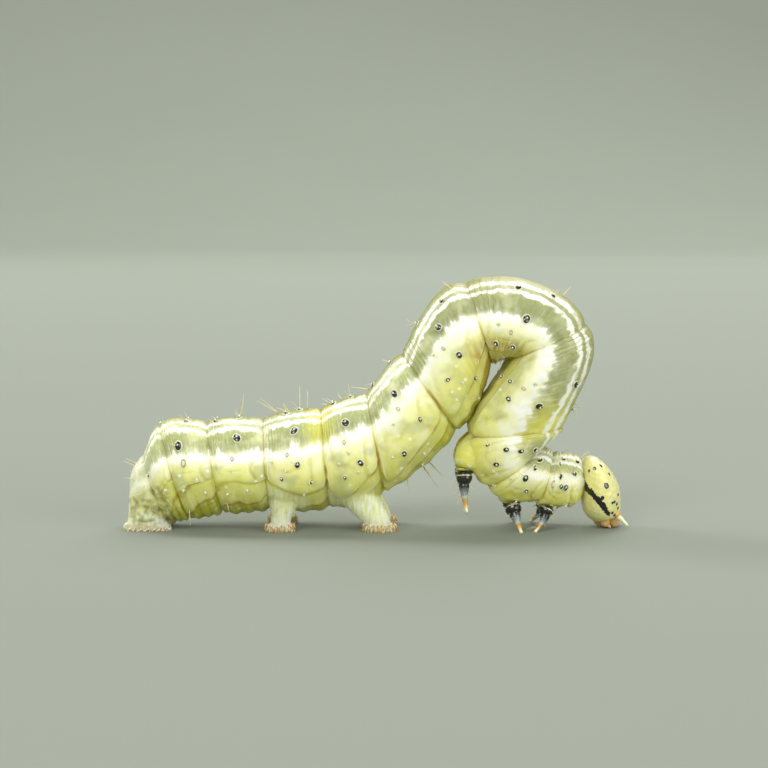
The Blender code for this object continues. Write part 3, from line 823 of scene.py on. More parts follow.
def leg_finish():
    """Horn of a jointed leg: black rings above, then smoky horn, an amber foot and a pale claw."""
    # the rings are glossy, and the lower joints look clear where they turn pale
    tints = colours()
    look, tree, shader = finish(
        "leg horn", Roughness=0.2, IOR=1.5, Coat_Weight=0.5, Coat_Roughness=0.08
    )
    value = patterns(tree, ("reach",), (("grain", 0.09, 3.0),))
    work_out(tree, value, (
        ("grains", "SUBTRACT", "grain", 0.5),
        ("uneven", "MULTIPLY_ADD", "grains", 0.06, "reach"),
    ))
    painted = add(tree, "ValToRGB", (value["uneven"],), stops=(
        (0.0, tints.belly), (0.05, tints.leg), (0.125, tints.leg), (0.14, tints.halo),
        (0.165, tints.leg), (0.40, tints.leg), (0.47, linear("#5E6A70")),
        (0.64, linear("#B4BCB2")), (0.70, tints.golden), (0.78, tints.amber), (0.90, tints.halo),
    ))
    wire(tree, shader, painted, value["grains"], 0.01, 0.5)
    return look


# Pieces

def soft_leg_points(leg, side):
    """The skin of a soft leg, as a function of shares up it and round it."""
    sole, root, column = SOFT_LEGS[leg]
    heights = [ring[0] for ring in column]
    top = heights[-1]

    def place(share, turn):
        height = np.clip(share * 1.06 - 0.03, 0, 1) ** 1.15 * top
        half_length = np.interp(height, heights, [ring[1] for ring in column])
        half_width = np.interp(height, heights, [ring[2] for ring in column])
        ease = height / top
        ease = ease * ease * (3 - 2 * ease)
        closing = np.sqrt(np.clip(np.minimum(share, 1 - share) / 0.03, 0, 1))
        angle = turn * 2 * math.pi
        folds = 0.012 * np.cos(5 * angle + 3 * height) * smooth_step(0.3, 0.6, height)
        pads = 0.035 * np.cos(14 * angle) * (1 - smooth_step(0.30, 0.42, height))
        x = sole[0] + (root[0] - sole[0]) * ease + (half_length + folds + pads) * closing * np.cos(angle)
        y = side * (sole[1] + (root[1] - sole[1]) * ease)
        y = y + (half_width + folds + pads) * closing * np.sin(angle)
        return np.stack([x, y, height], axis=1)

    return place


def leg_path(leg, side, share):
    """Middle and direction of a jointed leg at a share of its length from hip to tip."""
    root, hip, tip = (Vector((p[0], side * p[1], p[2])) for p in JOINTED_LEGS[leg][:3])
    knee = hip + (hip - root).normalized() * (tip - hip).length * 0.35
    middle = hip * (1 - share) ** 2 + knee * (2 * share * (1 - share)) + tip * share ** 2
    along = ((knee - hip) * (1 - share) + (tip - knee) * share).normalized()
    return middle, along


def tube_points(middles, directions, radii, turns):
    """Points of a tube, given one middle, direction and radius for every point."""
    points = []
    for middle, along, radius, turn in zip(middles, directions, radii, turns):
        across = along.cross(Vector((0.3, 1.0, 0.1))).normalized()
        upright = along.cross(across)
        angle = turn * 2 * math.pi
        points.append(middle + (across * math.cos(angle) + upright * math.sin(angle)) * radius)
    return points


# The soft yellow base of each jointed leg: where it starts in the body, and its radius at shares
# 0, 0.5, 0.85 and 1 of its length
LEG_BASES = {
    "leg_t1": ((8.70, 0.50, 2.60), (0.40, 0.60, 0.54, 0.43)),
    "leg_t2": ((7.00, 0.50, 3.10), (0.50, 0.80, 0.70, 0.50)),
    "leg_t3": ((5.35, 0.50, 4.75), (0.50, 0.82, 0.73, 0.50)),
}


def leg_base_points(leg, side):
    """The swollen base of a jointed leg, from inside the body to its first ring."""
    start, radii = LEG_BASES[leg]
    start = Vector((start[0], side * start[1], start[2]))
    hip = Vector(JOINTED_LEGS[leg][1])
    hip.y *= side

    def place(share, turn):
        middles = [start.lerp(hip, min(max(s * 1.1 - 0.05, 0), 1)) for s in share]
        closing = np.sqrt(np.clip(np.minimum(share, 1 - share) / 0.05, 0, 1))
        rows = np.interp(share, (0, 0.5, 0.85, 1), (0, 1, 2, 3))
        widths = along_table(np.array(radii)[:, None], rows)[:, 0]
        widths = (widths - 0.025 * hump(share, 0.80, 0.03) - 0.02 * hump(share, 0.62, 0.04)) * closing
        return tube_points(middles, [(hip - start).normalized()] * len(share), widths, turn)

    return place


def sheet_place(share, turn):
    """Place along the body, degrees round from the back, and side, from shares of a flat sheet."""
    t = share * (SEGMENTS + 0.2)
    t = np.where(t < SEGMENTS, t - 0.06 * np.sin(2 * math.pi * t), t)
    around = turn * 360
    return t, np.where(around <= 180, around, 360 - around), np.where(around <= 180, -1.0, 1.0)


def body_sheet(share, turn):
    return body_points(*sheet_place(share, turn))


def read_places(piece):
    """For each point of a mesh, the nearest place of the bare skin (along, degrees) and how far."""
    t, around = np.meshgrid(
        np.linspace(0, SEGMENTS + 0.2, 1100), np.linspace(0, 180, 121), indexing="ij"
    )
    t, around = t.ravel(), around.ravel()
    finder = kdtree.KDTree(len(t))
    for n, point in enumerate(body_points(t, around, 1.0)):
        finder.insert(point, n)
    finder.balance()
    points = np.array([(v.co.x, abs(v.co.y), v.co.z) for v in piece.data.vertices])
    found = np.array([finder.find(point)[1] for point in points])
    along, degrees = t[found], around[found]
    here = body_points(along, degrees, 1.0)
    for step_t, step_d in ((0.01, 0.0), (0.0, 1.0)):
        step = body_points(along + step_t, degrees + step_d, 1.0) - here
        share = np.sum((points - here) * step, axis=1) / np.maximum(np.sum(step * step, axis=1), 1e-9)
        share = np.clip(share, -1.5, 1.5)
        along, degrees = along + share * step_t, degrees + share * step_d
    away = np.linalg.norm(points - body_points(along, degrees, 1.0), axis=1)
    return along, np.clip(degrees, 0, 180), away


def soften_roots(piece, away):
    """Rounds the creases where the legs grow out of the body."""
    shape = bmesh.new()
    shape.from_mesh(piece.data)
    shape.verts.ensure_lookup_table()
    near = [shape.verts[n] for n in np.nonzero((away > 0.01) & (away < 0.14))[0]]
    for _ in range(5):
        bmesh.ops.smooth_vert(
            shape, verts=near, factor=0.5, use_axis_x=True, use_axis_y=True, use_axis_z=True
        )
    shape.to_mesh(piece.data)
    shape.free()


def fuse(piece, others, way="UNION"):
    """Fuses closed forms into one, or cuts them away."""
    group = bpy.data.collections.new("others")
    bpy.context.scene.collection.children.link(group)
    for other in others:
        for owner in list(other.users_collection):
            owner.objects.unlink(other)
        group.objects.link(other)
    activate(piece)
    cut = piece.modifiers.new("fuse", "BOOLEAN")
    cut.operation, cut.operand_type, cut.collection, cut.solver = way, "COLLECTION", group, "MANIFOLD"
    bpy.ops.object.modifier_apply(modifier=cut.name)
    for other in others:
        bpy.data.objects.remove(other)
    bpy.data.collections.remove(group)
    piece.data.shade_smooth()


class LARVA_OT_skin(bpy.types.Operator):
    """One skin over thorax and abdomen with its soft legs, folded and creased at every ring"""

    bl_idname = "larva.skin"
    bl_label = "Skin"

    def execute(self, context):
        skin = rolled("skin", 344, 224, body_sheet)
        limbs = []
        for side in SIDES.values():
            limbs += [rolled(leg, 44, 48, soft_leg_points(leg, side)) for leg in SOFT_LEGS]
            limbs += [rolled(leg, 30, 40, leg_base_points(leg, side)) for leg in JOINTED_LEGS]
        fuse(skin, limbs)
        soften_roots(skin, read_places(skin)[2])
        along, degrees, away = read_places(skin)
        attribute(skin, "along", along)
        along = np.clip(along, 0, SEGMENTS - 1e-3)
        bands = band_place(along, degrees)
        attribute(skin, "bands", bands)
        segment = np.floor(along).astype(int)
        attribute(skin, "plate", plate_reach(segment, along - segment, bands))
        attribute(skin, "lower_plate", lower_reach(segment, along - segment, bands))
        attribute(skin, "folds", fold_lines(segment, along - segment, bands) * (away < 0.05))
        x, y = np.array([(v.co.x, abs(v.co.y)) for v in skin.data.vertices]).T
        limb = smooth_step(0.02, 0.22, away) * (x < 3)
        for _, root, column in list(SOFT_LEGS.values())[1:]:
            widest = column[-1][1]
            top = np.exp(-((x - root[0]) / widest) ** 6) * smooth_step(0.4, 0.8, y)
            limb = np.maximum(limb, 0.7 * top * smooth_step(4.98, 5.08, bands))
        attribute(skin, "limb", limb)
        legs = [f"{leg}_{side}" for leg in SOFT_LEGS for side in SIDES]
        finish_piece(skin, skin_finish(), SEGMENT_NAMES + legs)
        return {"FINISHED"}


# Head

def along_table(table, place):
    """Smooth values between the rows of a table, at places counted in rows."""
    row = np.clip(np.floor(place).astype(int), 0, len(table) - 2)
    u = (place - row)[:, None]
    padded = np.concatenate([table[:1], table, table[-1:]])
    a, b, c, d = (padded[row + n] for n in range(4))
    return b + 0.5 * u * (c - a + u * (2 * a - 5 * b + 4 * c - d + u * (3 * (b - c) + d - a)))


HEAD_DOWN = Vector((math.sin(HEAD_LEAN), 0.0, -math.cos(HEAD_LEAN)))
HEAD_AHEAD = Vector((math.cos(HEAD_LEAN), 0.0, math.sin(HEAD_LEAN)))


def head_place(drop, forwards, sideways):
    """A point of the head from its distances down, forwards and sideways of the crown."""
    return CROWN + HEAD_DOWN * drop + HEAD_AHEAD * forwards + Vector((0.0, sideways, 0.0))


def head_measures(points):
    """Drop, distance forwards and distance sideways of points of the head."""
    off = points - np.array(CROWN)
    return off @ np.array(HEAD_DOWN), off @ np.array(HEAD_AHEAD), off[:, 1]


def head_sheet(share, turn):
    ring = along_table(HEAD_RINGS, share * (len(HEAD_RINGS) - 1))
    drop, front, rear, half_width = ring.T
    angle = turn * 2 * math.pi
    sideways = half_width * np.sin(angle)
    forwards = (front + rear) / 2 + (front - rear) / 2 * np.cos(angle)
    apart = np.maximum(drop - 1.75, 0.0) * 0.42
    depth = 0.06 + 0.06 * np.maximum(1 - drop / 0.9, 0.0)
    groove = depth * np.exp(-((np.abs(sideways) - apart) / 0.10) ** 2)
    forwards = forwards - groove * (np.cos(angle) > 0) * smooth_step(0.0, 0.1, drop)
    # small even bumps of the horn
    ripple = 0.008 * np.sin(drop * 17) * np.sin(angle * 9)
    forwards, sideways = forwards + ripple * np.cos(angle), sideways + ripple * np.sin(angle)
    down, ahead = np.array(HEAD_DOWN), np.array(HEAD_AHEAD)
    points = np.array(CROWN) + drop[:, None] * down + forwards[:, None] * ahead
    points[:, 1] += sideways
    return points


def head_skin(drop, degrees, side):
    """The point of the head at this drop and angle round from the face, and the way out of it."""
    rows = np.interp(drop, HEAD_RINGS[:, 0], np.arange(len(HEAD_RINGS)))
    share = rows / (len(HEAD_RINGS) - 1)
    turn = side * degrees / 360
    step = 0.004
    found = head_sheet(np.array([share, share + step, share]), np.array([turn, turn, turn + step]))
    here, lower, onward = (Vector(point) for point in found)
    outward = (onward - here).cross(lower - here).normalized()
    return here, outward, (lower - here).normalized()


def head_degrees(drop, forwards):
    """Angle round from the face of a point of the head seen from the side."""
    front = np.interp(drop, HEAD_RINGS[:, 0], HEAD_RINGS[:, 1])
    rear = np.interp(drop, HEAD_RINGS[:, 0], HEAD_RINGS[:, 2])
    return math.degrees(math.acos(max(-1.0, min(1.0, (forwards * 2 - front - rear) / (front - rear)))))


# The ink stripe on the side of the head, as (drop, forwards, half width)
STRIPE = (
    (0.70, -0.52, 0.06), (0.92, -0.42, 0.13), (1.30, -0.33, 0.12), (1.50, -0.22, 0.17),
    (1.72, -0.08, 0.12), (2.00, 0.10, 0.17), (2.45, 0.28, 0.15), (2.90, 0.45, 0.08),
)


def stripe_edge(points):
    """How far points of the head lie outside the ink stripe, in millimetres."""
    drop, forwards, sideways = head_measures(points)
    nearest = np.full(len(points), 9.0)
    for (d0, f0, w0), (d1, f1, w1) in zip(STRIPE, STRIPE[1:]):
        step = np.array((d1 - d0, f1 - f0))
        share = np.clip(((drop - d0) * step[0] + (forwards - f0) * step[1]) / (step @ step), 0, 1)
        gap = np.hypot(drop - d0 - share * step[0], forwards - f0 - share * step[1])
        nearest = np.minimum(nearest, gap - w0 - (w1 - w0) * share)
    return nearest + 2.0 * (np.abs(sideways) < 0.25)


def lump(place, half_sizes, name):
    """An egg shape on the head, its half sizes taken down, forwards and sideways."""
    deselect()
    bpy.ops.mesh.primitive_uv_sphere_add(segments=28, ring_count=18, radius=1.0)
    piece = bpy.context.object
    piece.name = piece.data.name = name
    stretch = Matrix.Diagonal((half_sizes[1], half_sizes[2], half_sizes[0], 1.0))
    lean = Matrix.Rotation(-HEAD_LEAN, 4, "Y")
    piece.data.transform(Matrix.Translation(head_place(*place)) @ lean @ stretch)
    return piece


def stalk(start, end, radii, profile, name):
    """A tapered stalk with rings, from start to end."""
    start, end = Vector(start), Vector(end)
    shares, widths = zip(*profile)

    def place(share, turn):
        width = np.interp(share, shares, widths) * (radii[0] - radii[1]) + radii[1]
        closing = np.sqrt(np.clip(np.minimum(share, 1 - share) / 0.04, 0, 1))
        middles = [start.lerp(end, s) for s in share]
        return tube_points(middles, [(end - start).normalized()] * len(share), width * closing, turn)

    return rolled(name, 40, 20, place)


class LARVA_OT_head(bpy.types.Operator):
    """Head capsule with two lobes and furrows, and the mouthparts under it"""

    bl_idname = "larva.head"
    bl_label = "Head and mouthparts"

    def execute(self, context):
        capsule = rolled("head_capsule", 150, 192, head_sheet)
        points = np.array([v.co for v in capsule.data.vertices])
        attribute(capsule, "stripe", stripe_edge(points))
        finish_piece(capsule, horn_finish(), ["head"])

        mouth = lump((3.02, 0.94, 0.0), (0.26, 0.18, 0.50), "mouthparts")
        others = [lump((3.20, -0.02, 0.0), (0.34, 0.30, 0.30), "labium")]
        for side in SIDES.values():
            others += [
                lump((3.28, 0.98, side * 0.17), (0.22, 0.12, 0.25), "labrum"),
                lump((3.32, 0.66, side * 0.30), (0.40, 0.27, 0.27), "mandible"),
                lump((3.22, 0.22, side * 0.46), (0.36, 0.27, 0.25), "maxilla"),
                lump((3.02, 0.86, side * 0.74), (0.17, 0.17, 0.17), "socket"),
            ]
            palp = [head_place(3.42, 0.26, side * 0.44), head_place(3.66, 0.42, side * 0.48)]
            others.append(stalk(*palp, (0.12, 0.05), ((0, 1), (0.45, 0.9), (0.5, 0.5), (1, 0)), "palp"))
        spinneret = [head_place(3.40, 0.05, 0.0), head_place(3.66, 0.30, 0.0)]
        others.append(stalk(*spinneret, (0.12, 0.05), ((0, 1), (0.6, 0.7), (1, 0)), "spinneret"))
        fuse(mouth, others)
        activate(mouth)
        soft = mouth.modifiers.new("soft", "SMOOTH")
        soft.factor, soft.iterations = 0.5, 3
        bpy.ops.object.modifier_apply(modifier=soft.name)
        finish_piece(mouth, clear_finish("amber mouth horn", colours().mouth, 0.25), ["head"])
        return {"FINISHED"}


# The six simple eyes of one side, as (drop, degrees round from the face)
EYES = ((2.08, 36), (2.34, 55), (2.50, 46), (2.74, 40), (2.86, 66), (3.02, 58))


def dome(name, segments, rings, shape):
    """A round template of half size 1, its height given by shape(distance from the middle)."""
    deselect()
    bpy.ops.mesh.primitive_uv_sphere_add(segments=segments, ring_count=rings, radius=1.0)
    piece = bpy.context.object
    piece.name = name
    for vertex in piece.data.vertices:
        reach = min(math.hypot(vertex.co.x, vertex.co.y), 1.0)
        vertex.co.z = shape(reach) if vertex.co.z > 0 else vertex.co.z * 0.5
    return piece


class LARVA_OT_eyes(bpy.types.Operator):
    """Six simple eyes on each side of the head, glossy beads"""

    bl_idname = "larva.eyes"
    bl_label = "Simple eyes"

    def execute(self, context):
        size = sizes().eye_width / MM / 2
        copies = []
        for side in SIDES.values():
            for drop, degrees in EYES:
                point, outward, down = head_skin(drop, degrees, side)
                copies.append((stand(point, outward, down, (size, size, size * 0.8)), 0.0, (0.5, 0.5)))
        template = dome("eye", 20, 14, lambda r: math.sqrt(1 - r * r))
        eyes = scatter("eyes", template, copies)
        look = gloss_finish("eye glass", colours().ink, 0.08, 0.05, 0.002)
        finish_piece(eyes, look, ["head"])
        return {"FINISHED"}


class LARVA_OT_feelers(bpy.types.Operator):
    """Short pale feelers of three rings each, beside the mouth"""

    bl_idname = "larva.feelers"
    bl_label = "Feelers"

    def execute(self, context):
        rings = ((0, 1), (0.40, 0.85), (0.44, 0.95), (0.50, 0.55), (0.88, 0.40), (0.92, 0.15), (1, 0))
        look = clear_finish("feeler horn", colours().limb, 0.1)
        for name, side in SIDES.items():
            ends = [head_place(2.98, 0.80, side * 0.70), head_place(3.74, 1.27, side * 0.86)]
            feeler = stalk(*ends, (0.13, 0.035), rings, f"feeler_{name}")
            finish_piece(feeler, look, [f"antenna_{name}"])
        return {"FINISHED"}


# Jointed legs

# Width of a jointed leg from hip to tip, as (share of its length, share of its radius)
LEG_PROFILE = (
    (0.0, 1.00), (0.02, 1.12), (0.09, 1.08), (0.12, 0.88), (0.15, 0.85), (0.18, 0.97), (0.28, 0.98),
    (0.36, 0.86), (0.40, 0.66), (0.43, 0.62), (0.46, 0.67), (0.55, 0.58), (0.64, 0.44), (0.67, 0.31),
    (0.71, 0.36), (0.80, 0.30), (0.87, 0.23), (0.91, 0.19), (0.96, 0.22), (1.0, 0.16),
)


def jointed_leg_points(leg, side):
    radius = JOINTED_LEGS[leg][3]
    shares, widths = zip(*LEG_PROFILE)

    def place(share, turn):
        ends = [leg_path(leg, side, s) for s in share]
        closing = np.sqrt(np.clip(np.minimum(share + 0.002, 1 - share) / 0.02, 0, 1))
        width = np.interp(share, shares, widths) * radius * closing
        return tube_points([e[0] for e in ends], [e[1] for e in ends], width, turn)

    return place


class LARVA_OT_legs(bpy.types.Operator):
    """Three pairs of jointed legs with dark rings, clear shins, amber feet and claws"""

    bl_idname = "larva.legs"
    bl_label = "Jointed legs"

    def execute(self, context):
        look = leg_finish()
        for leg in JOINTED_LEGS:
            for name, side in SIDES.items():
                shape = rolled(f"{leg}_{name}_horn", 96, 30, jointed_leg_points(leg, side))
                hip, tip = (Vector((p[0], side * p[1], p[2])) for p in JOINTED_LEGS[leg][1:3])
                line = tip - hip
                reach = [(v.co - hip).dot(line) / line.length_squared for v in shape.data.vertices]
                attribute(shape, "reach", np.clip(reach, 0, 1))
                finish_piece(shape, look, [f"{leg}_{name}"])
        claws = []
        for leg in JOINTED_LEGS:
            for side in SIDES.values():
                tip, along = leg_path(leg, side, 0.94)
                hooked = (along + Vector((along.x, 0.0, 0.35))).normalized()
                claws.append((stand(tip, hooked, along, (0.05, 0.05, 0.30)), 1.8, (0.9, 0.5)))
        claws = scatter("claws", spine("claw", 8, 6), claws)
        finish_piece(claws, clear_finish("claw horn", colours().amber, 0.1))
        return {"FINISHED"}


# Spots of one side, as (along, degrees round from the back, size)
SPOTS = (
    (2.35, 59, 1.1), (3.54, 50, 1.1), (4.54, 48, 1.1), (5.49, 51, 1.1), (6.54, 56, 1.1),
    (7.51, 53, 1.1), (8.54, 80, 1.1), (9.70, 80, 1.1), (10.30, 100, 0.9),
    (2.04, 5, 0.8), (3.17, 14, 0.9), (4.41, 11, 0.9), (5.27, 10, 0.9), (6.18, 10, 0.9),
    (7.32, 8, 0.9), (8.39, 36, 1.0), (9.56, 42, 1.0),
    (2.59, 16, 0.8), (3.58, 5, 0.8), (4.64, 5, 0.8), (5.65, 5, 0.8), (6.71, 5, 0.8),
    (7.68, 31, 0.9), (8.65, 29, 0.9), (9.82, 10, 0.8),
    (1.08, 65, 0.7), (4.56, 87, 0.8), (4.28, 100, 0.7), (4.75, 106, 0.7), (5.67, 96, 0.9),
    (5.35, 106, 0.7), (6.35, 81, 0.5), (6.71, 97, 0.8), (6.35, 112, 0.8), (6.49, 152, 0.6),
    (7.30, 67, 0.5), (7.58, 93, 0.9), (7.29, 95, 0.7), (7.64, 128, 0.8), (7.54, 149, 0.7),
    (8.24, 90, 0.5), (8.20, 114, 0.8), (8.57, 118, 0.8), (8.36, 154, 0.7), (8.42, 141, 0.7),
    (9.42, 97, 0.5), (9.30, 128, 0.8), (9.21, 149, 0.7), (9.54, 117, 0.8),
    (10.44, 83, 0.8), (10.62, 61, 0.8), (10.58, 112, 0.8), (10.31, 161, 0.7), (10.48, 173, 0.7),
    (11.33, 53, 0.9), (11.37, 71, 0.8), (11.34, 92, 0.9), (11.59, 113, 0.8), (11.08, 104, 0.5),
    (12.33, 78, 0.9), (12.53, 96, 0.8), (12.40, 95, 0.7), (12.34, 172, 0.7), (12.53, 171, 0.6),
    (12.76, 68, 0.8), (12.36, 36, 0.8), (12.82, 37, 0.8), (12.23, 49, 0.7),
    (12.66, 132, 0.7), (12.78, 140, 0.6), (11.56, 140, 0.7), (11.02, 138, 0.6), (10.16, 122, 0.7),
)
PALE_SPOTS = (
    (6.56, 133, 0.55), (6.20, 108, 0.4), (5.48, 84, 0.45), (5.60, 104, 0.4), (5.28, 92, 0.35),
    (4.36, 92, 0.45), (4.14, 82, 0.35), (4.62, 118, 0.4), (3.40, 90, 0.5), (3.62, 112, 0.45),
    (3.22, 116, 0.4), (2.60, 96, 0.5), (2.72, 112, 0.45), (2.20, 106, 0.45), (1.60, 100, 0.45),
    (7.44, 112, 0.4), (8.40, 104, 0.35),
)
# Spots on the side of the head, as (drop, forwards, size)
HEAD_SPOTS = (
    (1.40, 0.65, 0.9), (1.94, 0.32, 0.6), (0.43, 0.66, 0.6), (0.45, 0.30, 0.55), (0.52, 0.01, 0.5),
    (0.95, 0.95, 0.5), (2.35, 0.75, 0.45),
)


class LARVA_OT_spots(bpy.types.Operator):
    """Black glossy spots, each a low dome with a socket and a pale rim"""

    bl_idname = "larva.spots"
    bl_label = "Spots"

    def execute(self, context):
        half, rise = sizes().spot_length / MM / 2, sizes().spot_rise / MM
        draw = random.Random(5)
        domes, rims, pale, roots_and_glints = [], [], [], []
        for side in SIDES.values():
            for spots, kept in ((SPOTS, domes), (PALE_SPOTS, pale)):
                for t, degrees, size in spots:
                    point, outward, forwards = skin_place(t, degrees, side)
                    spot = bake_place(t, degrees, side)
                    turn = Matrix.Rotation(draw.uniform(-0.5, 0.5), 3, outward)
                    across = turn @ outward.cross(forwards)
                    size *= draw.uniform(0.93, 1.07)
                    scale = (half * size * draw.uniform(1.05, 1.22), half * size * 0.88, rise * size)
                    kept.append((stand(point, outward, across, scale), 0.0, spot))
                    # a pale bead, set a little off each spot's middle: the bristle's pale socket, and
                    # also a painted glint on the spot
                    root = point + outward * rise * size * 1.1 + across * 0.03
                    roots_and_glints.append((stand(root, outward, across, (0.052, 0.040, 0.08)), 0.0, spot))
                    wide = (scale[0] * 1.20, scale[1] * 1.26, rise * 0.5)
                    rims.append((stand(point, outward, across, wide), 0.0, spot))
            for drop, forwards, size in HEAD_SPOTS:
                point, outward, down = head_skin(drop, head_degrees(drop, forwards), side)
                scale = (half * size, half * size * 0.85, rise * size)
                domes.append((stand(point, outward, down, scale), 0.0, (0.5, 0.5)))

        def ball(reach):
            return math.sqrt(1 - reach * reach)

        def socket(reach):
            return ball(reach) + 0.55 * math.exp(-((reach / 0.22) ** 2))

        tints = colours()
        for name, template, copies, look, slot in (
            ("spots", ("spot", 20, 16, socket), domes,
             gloss_finish("spot horn", tints.ink, 0.12, 0.07, 0.004), "dark_horn"),
            # the pale beads are the bristles' sockets and also painted glints on the spots
            ("bristle_roots_and_glints", ("root", 12, 10, ball), roots_and_glints,
             clear_finish("pale root and painted glint", tints.white, 0.1), "horn"),
            ("pale_spots", ("pale_spot", 20, 16, ball), pale,
             clear_finish("pale spot horn", tints.white, 0.1), "horn"),
            ("spot_rims", ("rim", 24, 14, lambda reach: (1 - reach ** 3) ** 0.5), rims,
             clear_finish("pale spot rim", tints.plate, 0.1), "skin"),
        ):
            finish_piece(scatter(name, dome(*template), copies), look)
        return {"FINISHED"}


# Breathing holes of one side, as (along, degrees, size)
BREATHING_HOLES = (
    (12.16, 94, 1.15), (2.39, 79, 1.15), (3.42, 76, 0.7), (4.40, 76, 0.7), (5.42, 73, 0.7),
    (6.50, 73, 0.7), (7.44, 74, 0.7), (8.42, 99, 0.7), (9.44, 107, 0.7),
)


class LARVA_OT_breathing_holes(bpy.types.Operator):
    """Oval cream breathing holes in amber rims along each flank"""

    bl_idname = "larva.breathing_holes"
    bl_label = "Breathing holes"

    def execute(self, context):
        rims, lids = [], []
        for side in SIDES.values():
            for t, degrees, size in BREATHING_HOLES:
                point, outward, forwards = skin_place(t, degrees, side)
                for kept, long, wide, high in ((rims, 0.19, 0.12, 0.035), (lids, 0.13, 0.07, 0.045)):
                    scale = (long * size, wide * size, high)
                    matrix = stand(point, outward, outward.cross(forwards), scale)
                    kept.append((matrix, 0.0, bake_place(t, degrees, side)))

        def ring(reach):
            return math.sqrt(max(1 - ((reach - 0.75) / 0.26) ** 2, 0.0))

        def lid(reach):
            return math.sqrt(1 - reach * reach) * (1 - 0.5 * math.exp(-((reach / 0.3) ** 2)))

        look = clear_finish("amber rim", colours().golden, 0.1)
        finish_piece(scatter("hole_rims", dome("rim", 24, 14, ring), rims), look)
        look = clear_finish("cream sieve", colours().white, 0.06)
        finish_piece(scatter("hole_lids", dome("lid", 20, 12, lid), lids), look)
        return {"FINISHED"}


# Long bristles of one side, as (along, degrees, forwards, up) with their reach seen from the side
LONG_BRISTLES = (
    (3.60, 4, 0.25, 1.30), (4.27, 4, -1.10, 0.78), (4.64, 4, -0.03, 1.27), (4.42, 5, -0.20, 0.50),
    (4.77, 5, 0.05, 1.05), (5.64, 4, -0.10, 0.72), (5.46, 4, -0.25, 0.40), (5.13, 4, -0.30, 0.10),
    (6.53, 50, -0.70, 0.30), (6.07, 4, -1.00, 0.20), (8.72, 5, 0.50, 0.50), (8.67, 14, 0.20, 0.20),
    (9.82, 9, 0.41, -0.58), (9.75, 14, 0.30, -0.45), (12.99, 19, 0.51, 0.48), (6.29, 155, 0.08, -0.85),
    (6.48, 173, 0.83, -1.18), (6.56, 173, 0.70, -0.80), (1.30, 6, 0.35, -0.43), (3.16, 132, 0.15, -0.60),
    (2.15, 135, 0.0, -0.97), (7.83, 18, -0.40, 0.35), (7.30, 5, -0.55, 0.30), (0.60, 20, -0.70, 0.35),
    (0.45, 50, -0.60, 0.15), (0.55, 85, -0.60, -0.15), (12.40, 40, 0.30, 0.55), (11.40, 30, 0.40, 0.60),
)


def spine(name, sides, rows):
    """A tapered spine of height 1 and half width 1 at its root."""
    def place(share, turn):
        width = (1 - share) ** 0.8 * 0.92 + 0.08
        closing = np.sqrt(np.clip(np.minimum(share, 1 - share) / 0.02, 0, 1))
        angle = turn * 2 * math.pi
        width = width * closing
        return np.stack([width * np.cos(angle), width * np.sin(angle), share], axis=1)

    return rolled(name, rows, sides, place)


class LARVA_OT_bristles(bpy.types.Operator):
    """Thin pale bristles, one from the socket of every spot, and longer ones on the back"""

    bl_idname = "larva.bristles"
    bl_label = "Bristles"

    def execute(self, context):
        draw = random.Random(7)
        width = sizes().bristle_width / MM / 2
        copies = []

        def grow(point, direction, forwards, length, wide, curl, spot):
            matrix = stand(point - direction * 0.05, direction, forwards, (wide, wide, length))
            copies.append((matrix, curl * length / wide, spot))

        for side in SIDES.values():
            for t, degrees, ahead, up in LONG_BRISTLES:
                point, outward, forwards = skin_place(t, degrees, side)
                reach = Vector((ahead, 0.0, up))
                direction = (reach + Vector((0.0, outward.y, 0.0)) * 0.35 * reach.length).normalized()
                grow(point, direction, forwards, reach.length, width, draw.uniform(-0.10, 0.10),
                     bake_place(t, degrees, side))
            for t, degrees, size in SPOTS + PALE_SPOTS:
                point, outward, forwards = skin_place(t, degrees, side)
                spans = ((-0.3, 0.3), (-0.2, 0.2), (-0.4, 0.5))
                lean = Vector([draw.uniform(*span) for span in spans])
                length = size * draw.uniform(0.5, 0.85)
                direction = (outward * 0.75 - forwards * 0.6 + lean).normalized()
                grow(point, direction, forwards, length, width * 0.7,
                     draw.uniform(-0.15, 0.15), bake_place(t, degrees, side))
            for leg, (root, hip, tip, radius) in JOINTED_LEGS.items():
                for n in range(16):
                    share = draw.uniform(0.2, 0.95)
                    middle, along = leg_path(leg, side, share)
                    turn = draw.uniform(0, 2 * math.pi)
                    across = along.orthogonal().normalized()
                    out = across * math.cos(turn) + along.cross(across) * math.sin(turn)
                    point = middle + out * radius * (0.95 - 0.6 * share)
                    direction = (out + along * 0.7).normalized()
                    length = draw.uniform(0.25, 0.55)
                    if point.z + direction.z * length > 0.02:
                        grow(point, direction, along, length, width * 0.65, 0.1, (0.9, 0.5))
            for n in range(14):
                drop, degrees = draw.uniform(0.3, 3.0), draw.uniform(10, 120)
                point, outward, down = head_skin(drop, degrees, side)
                grow(point, (outward - HEAD_DOWN * 0.2).normalized(), down, draw.uniform(0.25, 0.6),
                     width * 0.65, 0.12, (0.98, 0.5))
        template = spine("bristle", 7, 6)
        bristles = scatter("bristles", template, copies)
        finish_piece(bristles, clear_finish("bristle horn", colours().bristle, 0.3))
        return {"FINISHED"}


HOOK_WIDTH = 0.046  # half width of a hook at its root, in millimetres


